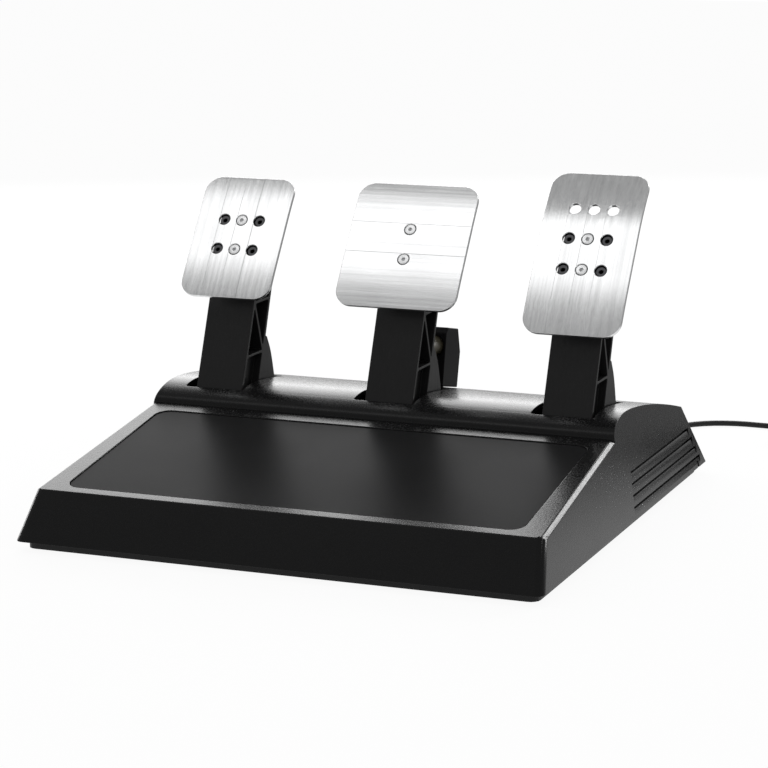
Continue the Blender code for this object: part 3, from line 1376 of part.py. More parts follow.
def route_length(points):
    """Length along points."""
    return sum((b - a).length for a, b in zip(points, points[1:]))


def coil_place(turn):
    """Radius and height at a place along the coil. Each layer spirals in or out at a steady rate, and the half
    turn between two layers carries the spiral on, reverses it and climbs."""
    spiral = (COIL_TURNS - (COIL_LAYERS - 1) / 2) / COIL_LAYERS
    layer = min(int((turn + 0.25) / (spiral + 0.5)), COIL_LAYERS - 1)
    within = turn - layer * (spiral + 0.5)
    outward = -1 if layer % 2 == 0 else 1
    radius = COIL_MEAN_RADIUS + outward * COIL_PITCH * (within - spiral / 2)
    climb = 2 * min(within, 0) + 2 * max(within - spiral, 0)
    return radius, COIL_REST + COIL_PITCH * (layer + climb)


def coil_points():
    """The coil's loops, clockwise from above, from its lower outer end to its upper outer end."""
    count = round(COIL_TURNS * COIL_POINTS)
    points = []
    for i in range(count + 1):
        turn = COIL_TURNS * i / count
        radius, z = coil_place(turn)
        angle = math.pi / 2 - math.tau * turn
        points.append(Vector((COIL_CENTRE[0] + radius * math.cos(angle), COIL_CENTRE[1] + radius * math.sin(angle),
                              z)))
    return points


def least_gap(points):
    """Least air between two turns of the coil."""
    apart = COIL_POINTS // 2
    return min((a - b).length for i, a in enumerate(points) for b in points[i + apart:]) - CORD_DIAMETER


def stretch_points():
    """The lead from inside the strain relief, down to the floor and to the coil."""
    outer = relief_ends()[1]
    end_y = COIL_CENTRE[1] + coil_place(0)[0]
    z = FLOOR_REST
    route = [(EXIT_X, rear_face_y(EXIT_HEIGHT), EXIT_HEIGHT), (EXIT_X, outer - 0.010, EXIT_HEIGHT),
             (EXIT_X, outer, EXIT_HEIGHT), (EXIT_X, outer + 0.012, EXIT_HEIGHT - 0.001),
             (EXIT_X + 0.001, outer + 0.034, 0.0085), (EXIT_X + 0.006, outer + 0.056, z),
             (0.112, 0.290, z), (0.1285, 0.3105, z), (0.150, 0.3192, z), (0.175, end_y, z),
             (COIL_CENTRE[0] - 0.012, end_y, COIL_REST - 0.0002), (COIL_CENTRE[0] - SEAT_GAP, end_y, COIL_REST)]
    points = smooth_points(route, 0.009)
    for point in points:
        point.z = max(point.z, FLOOR_REST)
    return points


def tail_points():
    """The lead from the coil's upper end down to the plug beside the coil."""
    radius, top = coil_place(COIL_TURNS)
    x = COIL_CENTRE[0] + radius
    y = COIL_CENTRE[1]
    z = PLUG[2] / 2
    route = [(x, y - SEAT_GAP, top), (x, y - 0.012, top - 0.0004), (x, y - 0.034, z + 0.004), (x, y - 0.046, z),
             (x, PLUG_Y + PLUG[1] + PLUG_BOOT + SEAT_GAP, z)]
    return smooth_points(route, 0.009)


def build_plug():
    """Modular plug with its latch and boot, lying beside the coil."""
    x = COIL_CENTRE[0] + coil_place(COIL_TURNS)[0]
    z = PLUG[2] / 2
    body = box((x - PLUG[0] / 2, PLUG_Y, 0), (x + PLUG[0] / 2, PLUG_Y + PLUG[1], PLUG[2]))
    plug = add_object("cord_plug", finish_mesh(body, "plug"), CLEAR_PLASTIC)
    latch = [(PLUG_Y, PLUG[2] - 0.0005), (PLUG_Y + 0.003, PLUG[2] - 0.0005), (PLUG_Y + 0.012, PLUG[2] + 0.0022),
             (PLUG_Y + 0.012, PLUG[2] + 0.0032), (PLUG_Y + 0.002, PLUG[2] + 0.0008)]
    boolean(plug, side_prism([latch], x - 0.003, x + 0.003), "UNION")
    boot = moved(rod(PLUG_BOOT_RADIUS, -0.001, PLUG_BOOT, 16), back_y(x, PLUG_Y + PLUG[1], z))
    boolean(plug, boot, "UNION")


def build_tie(coil):
    """Band round the coil's bundle."""
    centre = Vector((*COIL_CENTRE, 0))
    direction = Vector((math.cos(TIE_ANGLE), math.sin(TIE_ANGLE), 0))
    held = [point - centre for point in coil
            if abs((point - centre).dot(Vector((-direction.y, direction.x, 0)))) < 1.6 * TIE_WIDTH
            and (point - centre).dot(direction) > 0]
    reach = [point.dot(direction) for point in held]
    inner = CORD_DIAMETER / 2 + SLIDE_GAP
    low = (min(reach) - inner, TIE_THICKNESS)
    high = (max(reach) + inner, max(point.z for point in held) + inner)
    loops = [rounded_rectangle((low[0] - TIE_THICKNESS, 0), (high[0] + TIE_THICKNESS, high[1] + TIE_THICKNESS),
                               0.0025, 3),
             rounded_rectangle(low, high, 0.0025 - TIE_THICKNESS, 3)]
    band = flat_prism(loops, TIE_WIDTH)
    stand = Matrix((( direction.x, 0, direction.y, COIL_CENTRE[0]), (direction.y, 0, -direction.x, COIL_CENTRE[1]),
                    (0, 1, 0, 0), (0, 0, 0, 1)))
    add_object("cord_tie", finish_mesh(moved(band, stand), "tie"), CORD_PLASTIC)


def build_cord():
    """The lead outside the base: its free stretches, its coil, the plug and the tie."""
    coil = coil_points()
    runs = {"cord_stretch": (stretch_points(), 2), "cord_coil": (coil, 1), "cord_tail": (tail_points(), 2)}
    for name, (points, resolution) in runs.items():
        add_object(name, finish_mesh(tube(points, CORD_DIAMETER / 2, resolution), name), CORD_PLASTIC)
    length = sum(route_length(points) for points, _ in runs.values())
    print(f"lead {length:.3f} m long, least gap in its coil {least_gap(coil) * 1000:.2f} mm")
    build_plug()
    build_tie(coil)


def main():
    """Build the unit."""
    build_shell()
    build_heel_pad()
    build_base_plate()
    build_feet()
    for name, x in PEDALS:
        build_pedal(name, x)
    build_brake_stop()
    build_board()
    build_sensor_leads()
    build_relief()
    build_inner_lead()
    build_cord()


main()
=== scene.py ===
import functools
import json
import logging
import math
from dataclasses import dataclass, field
from enum import Enum

import bmesh
import bpy
from mathutils import Matrix, Vector
from mathutils.bvhtree import BVHTree

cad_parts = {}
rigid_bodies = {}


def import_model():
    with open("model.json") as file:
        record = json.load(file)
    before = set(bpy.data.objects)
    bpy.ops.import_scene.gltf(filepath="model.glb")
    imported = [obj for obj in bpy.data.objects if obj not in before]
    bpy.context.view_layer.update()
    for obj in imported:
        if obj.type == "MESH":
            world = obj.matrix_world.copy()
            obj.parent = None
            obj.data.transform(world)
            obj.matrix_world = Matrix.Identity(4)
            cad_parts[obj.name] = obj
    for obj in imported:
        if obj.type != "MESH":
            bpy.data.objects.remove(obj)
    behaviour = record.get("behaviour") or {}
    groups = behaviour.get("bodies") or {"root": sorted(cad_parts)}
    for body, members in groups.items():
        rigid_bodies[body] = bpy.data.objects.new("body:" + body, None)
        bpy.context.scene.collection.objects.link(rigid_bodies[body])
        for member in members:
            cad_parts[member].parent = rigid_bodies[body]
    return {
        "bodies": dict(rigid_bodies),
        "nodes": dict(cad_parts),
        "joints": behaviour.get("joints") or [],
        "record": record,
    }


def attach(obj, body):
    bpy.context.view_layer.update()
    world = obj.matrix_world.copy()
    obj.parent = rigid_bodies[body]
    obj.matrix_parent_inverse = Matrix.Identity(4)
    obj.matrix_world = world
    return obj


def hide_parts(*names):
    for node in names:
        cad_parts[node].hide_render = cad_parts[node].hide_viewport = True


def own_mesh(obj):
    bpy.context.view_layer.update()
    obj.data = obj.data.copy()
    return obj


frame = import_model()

LOG = logging.getLogger("pedal_set")
Point = tuple[float, float]
Loop = list[Point]
Colour = tuple[float, float, float]

SEAT_GAP = 0.0003               # between pieces that sit in each other
SLIDE_GAP = 0.0006              # between pieces that move past each other
MERGE_DISTANCE = 1e-6           # up to which two points are one
TOUCH_DISTANCE = 1e-5           # up to which a point lies on a line or a face
FLAT_ANGLE = math.radians(0.05)  # up to which two faces are one flat face
WHITE = (1.0, 1.0, 1.0, 1.0)


# ---- shader maths ----

class Wire:
    """The output of a shader node, with arithmetic that adds Math nodes."""

    def __init__(self, shader: "Shader", socket: bpy.types.NodeSocket) -> None:
        """Keep the socket and the tree that it is in."""
        self.shader = shader
        self.socket = socket

    def __add__(self, other: "Wire | float") -> "Wire":
        """Sum of two values."""
        return self.shader.math("ADD", self, other)

    def __sub__(self, other: "Wire | float") -> "Wire":
        """Difference of two values."""
        return self.shader.math("SUBTRACT", self, other)

    def __rsub__(self, other: float) -> "Wire":
        """A number less this value."""
        return self.shader.math("SUBTRACT", other, self)

    def __mul__(self, other: "Wire | float") -> "Wire":
        """Product of two values."""
        return self.shader.math("MULTIPLY", self, other)

    def __truediv__(self, other: "Wire | float") -> "Wire":
        """Quotient of two values."""
        return self.shader.math("DIVIDE", self, other)

    def __pow__(self, other: float) -> "Wire":
        """Power of a value."""
        return self.shader.math("POWER", self, other)

    def above(self, limit: float) -> "Wire":
        """One where the value is above a limit, else zero."""
        return self.shader.math("GREATER_THAN", self, limit)

    __radd__ = __add__
    __rmul__ = __mul__


class Shader:
    """A material or a world under construction."""

    def __init__(self, block: bpy.types.Material | bpy.types.World) -> None:
        """Start an empty node tree.

        Args:
            block: The material or world.
        """
        block.use_nodes = True
        self.block = block
        self.tree = block.node_tree
        self.tree.nodes.clear()

    @classmethod
    def material(cls, name: str) -> "Shader":
        """Shader of a new material."""
        return cls(bpy.data.materials.new(name))

    def node(self, kind: str, settings: dict | None = None, values: dict | None = None) -> bpy.types.Node:
        """Add a node.

        Args:
            kind: The node's type.
            settings: Its properties, and a ramp's stops as (place, colour) under "stops".
            values: Numbers, colours or wires by socket name or index.

        Returns:
            The node.
        """
        node = self.tree.nodes.new(kind)
        for name, value in (settings or {}).items():
            if name == "stops":
                ramp = node.color_ramp
                while len(ramp.elements) < len(value):
                    ramp.elements.new(0.5)
                for element, (place, colour) in zip(ramp.elements, value):
                    element.position = place
                    element.color = (*colour, 1.0)
            else:
                setattr(node, name, value)
        for name, value in (values or {}).items():
            if isinstance(value, Wire):
                self.tree.links.new(value.socket, node.inputs[name])
            else:
                node.inputs[name].default_value = value
        return node

    def wire(self, kind: str, settings: dict | None = None, values: dict | None = None,
             output: int | str = 0) -> Wire:
        """Add a node and return one of its outputs.

        Args:
            kind: The node's type.
            settings: Its properties.
            values: Its inputs.
            output: Which output.

        Returns:
            The output's wire.
        """
        return Wire(self, self.node(kind, settings, values).outputs[output])

    def math(self, operation: str, first: Wire | float, second: Wire | float = 0.0) -> Wire:
        """One Math node on two values."""
        return self.wire("ShaderNodeMath", {"operation": operation}, {0: first, 1: second})

    def place(self) -> Wire:
        """Object coordinates, in metres."""
        return self.wire("ShaderNodeTexCoord", output="Object")

    def part(self, vector: Wire, axis: str) -> Wire:
        """One component of a vector, named X, Y or Z."""
        return self.wire("ShaderNodeSeparateXYZ", values={0: vector}, output=axis)

    def turned(self, vector: Wire, angle: float) -> Wire:
        """A vector turned about X."""
        return self.wire("ShaderNodeMapping", {"vector_type": "POINT"},
                         {"Vector": vector, "Rotation": (angle, 0.0, 0.0)})

    def stretched(self, vector: Wire, factors: Colour) -> Wire:
        """A vector times a factor for each axis."""
        return self.wire("ShaderNodeVectorMath", {"operation": "MULTIPLY"}, {0: vector, 1: factors})

    def noise(self, vector: Wire, scale: float, detail: float = 2.0, rough: float = 0.5) -> Wire:
        """Smooth noise about 0.5.

        Args:
            vector: Where it is read.
            scale: Features for each unit of the vector.
            detail: Octaves.
            rough: Share that each finer octave keeps.

        Returns:
            The noise.
        """
        return self.wire("ShaderNodeTexNoise", {"noise_dimensions": "3D"},
                         {"Vector": vector, "Scale": scale, "Detail": detail, "Roughness": rough})

    def blend(self, factor: Wire | float, first: Colour | Wire, second: Colour | Wire) -> Wire:
        """Mix of two colours.

        Args:
            factor: Share of the second.
            first: A colour.
            second: Another colour.

        Returns:
            The mixed colour.
        """
        pair = [value if isinstance(value, Wire) else (*value, 1.0) for value in (first, second)]
        return self.wire("ShaderNodeMix", {"data_type": "RGBA", "clamp_factor": True},
                         {0: factor, 6: pair[0], 7: pair[1]}, 2)

    def bump(self, height: Wire, distance: float) -> Wire:
        """Surface normal with a relief from 0 to 1, whose depth is in metres."""
        return self.wire("ShaderNodeBump", values={"Height": height, "Distance": distance, "Strength": 1.0})

    def rays(self, *kinds: str) -> list[Wire]:
        """One for each named kind of ray, where the surface is seen by it."""
        path = self.node("ShaderNodeLightPath")
        return [Wire(self, path.outputs[f"Is {kind} Ray"]) for kind in kinds]

    def surface(self, values: dict) -> bpy.types.Material:
        """Principled surface as the material's output.

        Args:
            values: Its inputs.

        Returns:
            The finished material.
        """
        shader = self.node("ShaderNodeBsdfPrincipled", values=values)
        self.node("ShaderNodeOutputMaterial", values={"Surface": Wire(self, shader.outputs[0])})
        return self.block


def shade(colour: Colour, factor: float) -> Colour:
    """A colour times a factor."""
    return tuple(channel * factor for channel in colour)


# ---- finishes ----

@dataclass(frozen=True)
class MouldedPlastic:
    """Moulded or rubbery surface with an even grain, slight mottling and a little painted sheen: pale speckles
    on the grain.
    """

    name: str
    colour: Colour
    roughness: float
    grain: float = 0.0008       # size of the grain
    relief: float = 0.00002     # its depth
    mottle: float = 0.12        # how far roughness wanders
    stretch: Colour = (1.0, 1.0, 1.0)
    specular: float = 0.5

    def material(self) -> bpy.types.Material:
        """Make the node tree.

        Returns:
            The material.
        """
        shader = Shader.material(self.name)
        place = shader.place()
        fine = shader.noise(shader.stretched(place, self.stretch), 1 / self.grain, 3.0)
        wide = shader.noise(shader.stretched(place, self.stretch), 23.0, 3.0, 0.6)
        colour = shader.blend(wide, shade(self.colour, 0.8), shade(self.colour, 1.25))
        # pale speckles at the grain's peaks: a painted sheen, light painted into the colour
        colour = shader.blend((fine - 0.5) * 0.8 + 0.3, colour, shade(self.colour, 1.6))
        rough = (wide - 0.5) * self.mottle + (fine - 0.5) * 0.10 + self.roughness
        return shader.surface({"Base Color": colour, "Roughness": rough, "Specular IOR Level": self.specular,
                               "Normal": shader.bump(fine, self.relief)})


@dataclass(frozen=True)
class BrushedMetal:
    """Metal brushed in one direction on a leaning plate."""

    name: str
    colour: Colour
    roughness: float
    lean: float                 # of the plate back from upright
    across: bool                # brushed across the plate, else up along it
    streak: float = 0.00022     # width of the finest streaks

    def material(self) -> bpy.types.Material:
        """Make the node tree.

        Returns:
            The material.
        """
        shader = Shader.material(self.name)
        flat = shader.turned(shader.place(), self.lean - math.pi / 2)
        along, side = (0.006, 1.0) if self.across else (1.0, 0.006)
        drawn = shader.stretched(flat, (along, side, 1.0))
        fine = shader.noise(drawn, 1 / self.streak, 3.0, 0.6)
        broad = shader.noise(drawn, 420.0, 3.0, 0.55)
        cloud = shader.noise(flat, 30.0, 2.0)
        tone = (fine - 0.5) * 0.9 + (broad - 0.5) * 1.2 + 0.5
        colour = shader.blend(tone, shade(self.colour, 0.74), shade(self.colour, 1.16))
        rough = (fine - 0.5) * 0.22 + (cloud - 0.5) * 0.10 + self.roughness
        return shader.surface({"Base Color": colour, "Metallic": 1.0, "Roughness": rough,
                               "Normal": shader.bump(fine * 0.7 + broad * 0.3, 0.000012)})


@dataclass(frozen=True)
class TurnedMetal:
    """Metal faced on a lathe: fine rings about the middle of the piece's own UV map."""

    name: str
    colour: Colour
    roughness: float
    ring: float = 0.00035       # between two rings

    def material(self) -> bpy.types.Material:
        """Make the node tree.

        Returns:
            The material.
        """
        shader = Shader.material(self.name)
        flat = shader.wire("ShaderNodeUVMap")
        radius = shader.wire("ShaderNodeVectorMath", {"operation": "LENGTH"}, {0: flat}, "Value")
        rings = shader.math("SINE", radius * (math.tau / self.ring)) * 0.5 + 0.5
        cloud = shader.noise(shader.place(), 260.0, 2.0)
        colour = shader.blend(rings * 0.6 + cloud * 0.4, shade(self.colour, 0.82), shade(self.colour, 1.12))
        rough = cloud * 0.2 + self.roughness
        return shader.surface({"Base Color": colour, "Metallic": 1.0, "Roughness": rough,
                               "Normal": shader.bump(rings, 0.000006)})


@dataclass(frozen=True)
class PlainMetal:
    """Plated, drawn or cast metal with faint clouding and scuffs."""

    name: str
    colour: Colour
    roughness: float
    tint: Colour
    scuff: float = 0.25
    grain: float = 0.0012

    def material(self) -> bpy.types.Material:
        """Make the node tree.

        Returns:
            The material.
        """
        shader = Shader.material(self.name)
        place = shader.place()
        cloud = shader.noise(place, 90.0, 4.0, 0.6)
        fine = shader.noise(place, 1 / self.grain, 3.0)
        lines = shader.noise(shader.stretched(place, (1.0, 0.06, 1.0)), 2600.0, 2.0)
        colour = shader.blend(cloud, self.colour, self.tint)
        rough = cloud * 0.14 + (lines - 0.5) * self.scuff + self.roughness
        return shader.surface({"Base Color": colour, "Metallic": 1.0, "Roughness": rough,
                               "Normal": shader.bump(fine * 0.5 + lines * 0.5, 0.000010)})


@dataclass(frozen=True)
class CircuitLaminate:
    """Lacquered laminate with darker tracks, and dark moulded bodies above its top face."""

    name: str
    top: float                  # height of the laminate's top face

    def material(self) -> bpy.types.Material:
        """Make the node tree.

        Returns:
            The material.
        """
        shader = Shader.material(self.name)
        place = shader.place()
        cells = shader.wire("ShaderNodeTexVoronoi", {"feature": "DISTANCE_TO_EDGE", "distance": "EUCLIDEAN"},
                            {"Vector": shader.stretched(place, (1.0, 1.0, 0.01)), "Scale": 190.0}, "Distance")
        tracks = cells.above(0.09)
        green = shader.blend(tracks, (0.012, 0.10, 0.035), (0.02, 0.16, 0.055))
        body = shader.part(place, "Z").above(self.top + 0.0001)
        colour = shader.blend(body, green, (0.02, 0.02, 0.021))
        return shader.surface({"Base Color": colour, "Roughness": body * 0.25 + 0.32,
                               "Normal": shader.bump(tracks, 0.00003)})


@dataclass(frozen=True)
class ClearMoulding:
    """Clear plastic with flow marks."""

    name: str
    colour: Colour

    def material(self) -> bpy.types.Material:
        """Make the node tree.

        Returns:
            The material.
        """
        shader = Shader.material(self.name)
        flow = shader.noise(shader.place(), 420.0, 3.0)
        colour = shader.blend(flow, shade(self.colour, 0.9), self.colour)
        return shader.surface({"Base Color": colour, "Roughness": flow * 0.12 + 0.05,
                               "Transmission Weight": 0.75, "IOR": 1.49,
                               "Normal": shader.bump(flow, 0.00004)})


Finish = MouldedPlastic | BrushedMetal | TurnedMetal | PlainMetal | CircuitLaminate | ClearMoulding


@functools.cache
def dress(finish: Finish) -> bpy.types.Material:
    """The finish's material, made once."""
    return finish.material()


PLATE_LEAN = math.radians(34.9)

SHELL_PLASTIC = MouldedPlastic("shell_grain", (0.0042, 0.0042, 0.0044), 0.27, grain=0.0015, relief=0.00006,
                               mottle=0.08, specular=0.22)
PAD_SHEET = MouldedPlastic("pad_satin", (0.012, 0.012, 0.0123), 0.32, grain=0.0016, relief=0.000006,
                           mottle=0.12, specular=0.009)
ARM_PLASTIC = MouldedPlastic("arm_moulding", (0.0080, 0.0080, 0.0082), 0.36, grain=0.0014, relief=0.00008,
                             stretch=(1.0, 0.5, 0.08), specular=0.28)
BLOCK_PLASTIC = MouldedPlastic("block_moulding", (0.0070, 0.0070, 0.0075), 0.32, grain=0.0009, relief=0.000012,
                               specular=0.04)
RUBBER = MouldedPlastic("soft_rubber", (0.012, 0.012, 0.012), 0.72, grain=0.0005, relief=0.00003,
                        specular=0.3)
# warm olive tint: a painted glint, standing in for the warm sheen on the bumper in its bore
BUMPER_RUBBER = MouldedPlastic("bumper_rubber", (0.055, 0.048, 0.030), 0.48, grain=0.0006, relief=0.00002)
LEAD_JACKET = MouldedPlastic("lead_jacket", (0.012, 0.012, 0.012), 0.40, grain=0.0006, relief=0.000012,
                             specular=0.4)
ACETAL = MouldedPlastic("gear_acetal", (0.70, 0.68, 0.61), 0.40, grain=0.0009, relief=0.00001)
SENSOR_CASE = MouldedPlastic("sensor_case", (0.022, 0.034, 0.060), 0.38, grain=0.0006)
LONG_BRUSHED = BrushedMetal("long_brushed_plate", (0.88, 0.885, 0.89), 0.20, PLATE_LEAN, False)
CROSS_BRUSHED = BrushedMetal("cross_brushed_plate", (0.88, 0.885, 0.89), 0.20, PLATE_LEAN, True)
SCREW_FACE = TurnedMetal("turned_screw", (0.90, 0.905, 0.91), 0.20)
ZINC = PlainMetal("zinc_plate", (0.50, 0.51, 0.52), 0.32, (0.56, 0.55, 0.50))
DARK_STEEL = PlainMetal("dark_insert", (0.085, 0.085, 0.09), 0.30, (0.13, 0.13, 0.135), 0.12)
SPRING_WIRE = PlainMetal("spring_wire", (0.36, 0.36, 0.37), 0.24, (0.44, 0.44, 0.45), 0.12)
FLOOR_PAINT = MouldedPlastic("painted_plate", (0.0065, 0.0065, 0.0068), 0.5, grain=0.0010, specular=0.25)
BRONZE = PlainMetal("bush_bronze", (0.46, 0.30, 0.13), 0.34, (0.40, 0.24, 0.10))
LAMINATE = CircuitLaminate("board_laminate", 0.0161)
CLEAR = ClearMoulding("clear_plug", (0.80, 0.82, 0.84))


# ---- outlines ----

def arc(centre: Point, radius: float, start: float, end: float, count: int) -> Loop:
    """Points on an arc, with both ends.

    Args:
        centre: Middle of the arc.
        radius: Its radius.
        start: First angle, in radians.
        end: Last angle.
        count: How many points.

    Returns:
        The points.
    """
    step = (end - start) / (count - 1)
    return [(centre[0] + radius * math.cos(start + step * i), centre[1] + radius * math.sin(start + step * i))
            for i in range(count)]


def circle(centre: Point, radius: float, count: int = 32) -> Loop:
    """Points round a circle."""
    return arc(centre, radius, 0, math.tau * (1 - 1 / count), count)


def rounded_rectangle(low: Point, high: Point, radius: float, steps: int = 8) -> Loop:
    """Points round a rectangle with rounded corners.

    Args:
        low: Lower left corner.
        high: Upper right corner.
        radius: Of the corners.
        steps: Facets in each corner.

    Returns:
        The points, anticlockwise.
    """
    corners = ((high[0] - radius, low[1] + radius, -90), (high[0] - radius, high[1] - radius, 0),
               (low[0] + radius, high[1] - radius, 90), (low[0] + radius, low[1] + radius, 180))
    points = []
    for x, y, start in corners:
        points += arc((x, y), radius, math.radians(start), math.radians(start + 90), steps + 1)
    return points


def softened(points: Loop, radius: float, steps: int = 4) -> Loop:
    """An outline with each corner eased over a distance along both its sides.

    Args:
        points: The outline.
        radius: The distance.
        steps: Facets in each corner.

    Returns:
        The eased outline.
    """
    eased = []
    for i, point in enumerate(points):
        corner = Vector(point)
        before, after = Vector(points[i - 1]) - corner, Vector(points[(i + 1) % len(points)]) - corner
        start = corner + before.normalized() * min(radius, before.length * 0.4)
        end = corner + after.normalized() * min(radius, after.length * 0.4)
        for step in range(steps + 1):
            share = step / steps
            eased.append(tuple(start.lerp(corner, share).lerp(corner.lerp(end, share), share)))
    return eased


def inset_outline(points: Loop, distances: list[float]) -> Loop:
    """Outline moved inwards, edge by edge.

    Args:
        points: The outline, anticlockwise. Edge i leaves point i.
        distances: How far each edge moves.

    Returns:
        The smaller outline.
    """
    count = len(points)
    lines = []
    for i, inset in enumerate(distances):
        start, end = Vector(points[i]), Vector(points[(i + 1) % count])
        along = (end - start).normalized()
        lines.append((start + Vector((-along.y, along.x)) * inset, along))
    result = []
    for i in range(count):
        (p, r), (q, s) = lines[i - 1], lines[i]
        cross = r.x * s.y - r.y * s.x
        if abs(cross) < 1e-6:
            result.append(tuple(q))
            continue
        t = ((q.x - p.x) * s.y - (q.y - p.y) * s.x) / cross
        result.append(tuple(p + r * t))
    return result


def smooth_points(route: list, spacing: float) -> list[Vector]:
    """Points on a smooth curve through a route's own points.

    Args:
        route: The points to pass.
        spacing: Rough distance between two results.

    Returns:
        The points.
    """
    nodes = [Vector(point) for point in route]
    nodes = [nodes[0] * 2 - nodes[1], *nodes, nodes[-1] * 2 - nodes[-2]]
    points = [nodes[1]]
    for before, start, end, after in zip(nodes, nodes[1:], nodes[2:], nodes[3:]):
        count = max(1, round((end - start).length / spacing))
        for i in range(1, count + 1):
            t = i / count
            points.append(0.5 * (2 * start + (end - before) * t
                                 + (2 * before - 5 * start + 4 * end - after) * t ** 2
                                 + (3 * start - before - 3 * end + after) * t ** 3))
    return points


# ---- solids ----

class Plane(Enum):
    """Which way an outline is run."""

    LEVEL = "outline in x and y, run up"
    SIDE = "outline in y and z, run across"


class Join(Enum):
    """How one solid meets another."""

    CUT = "DIFFERENCE"
    ADD = "UNION"


def across_x(x: float = 0.0, y: float = 0.0, z: float = 0.0) -> Matrix:
    """Matrix that lays the Z axis along +X at a place."""
    return Matrix.Translation((x, y, z)) @ Matrix.Rotation(math.pi / 2, 4, "Y")


def back_y(x: float = 0.0, y: float = 0.0, z: float = 0.0) -> Matrix:
    """Matrix that lays the Z axis along +Y at a place."""
    return Matrix.Translation((x, y, z)) @ Matrix.Rotation(-math.pi / 2, 4, "X")


def linked(name: str, data: bpy.types.ID) -> bpy.types.Object:
    """Make an object in the scene.

    Args:
        name: Its name.
        data: Its mesh, curve, light or camera.

    Returns:
        The object.
    """
    obj = bpy.data.objects.new(name, data)
    bpy.context.scene.collection.objects.link(obj)
    return obj


def wire_object(name: str, points: list[Vector], radius: float, resolution: int) -> bpy.types.Object:
    """Round wire as a curve with one open spline.

    Args:
        name: Name of the object.
        points: Its middle line.
        radius: Its radius.
        resolution: Fineness of its round section.

    Returns:
        The object.
    """
    curve = bpy.data.curves.new(name, "CURVE")
    curve.dimensions = "3D"
    curve.bevel_depth = radius
    curve.bevel_resolution = resolution
    curve.use_fill_caps = True
    spline = curve.splines.new("POLY")
    spline.points.add(len(points) - 1)
    for point, place in zip(spline.points, points):
        point.co = (*place, 1)
    return linked(name, curve)


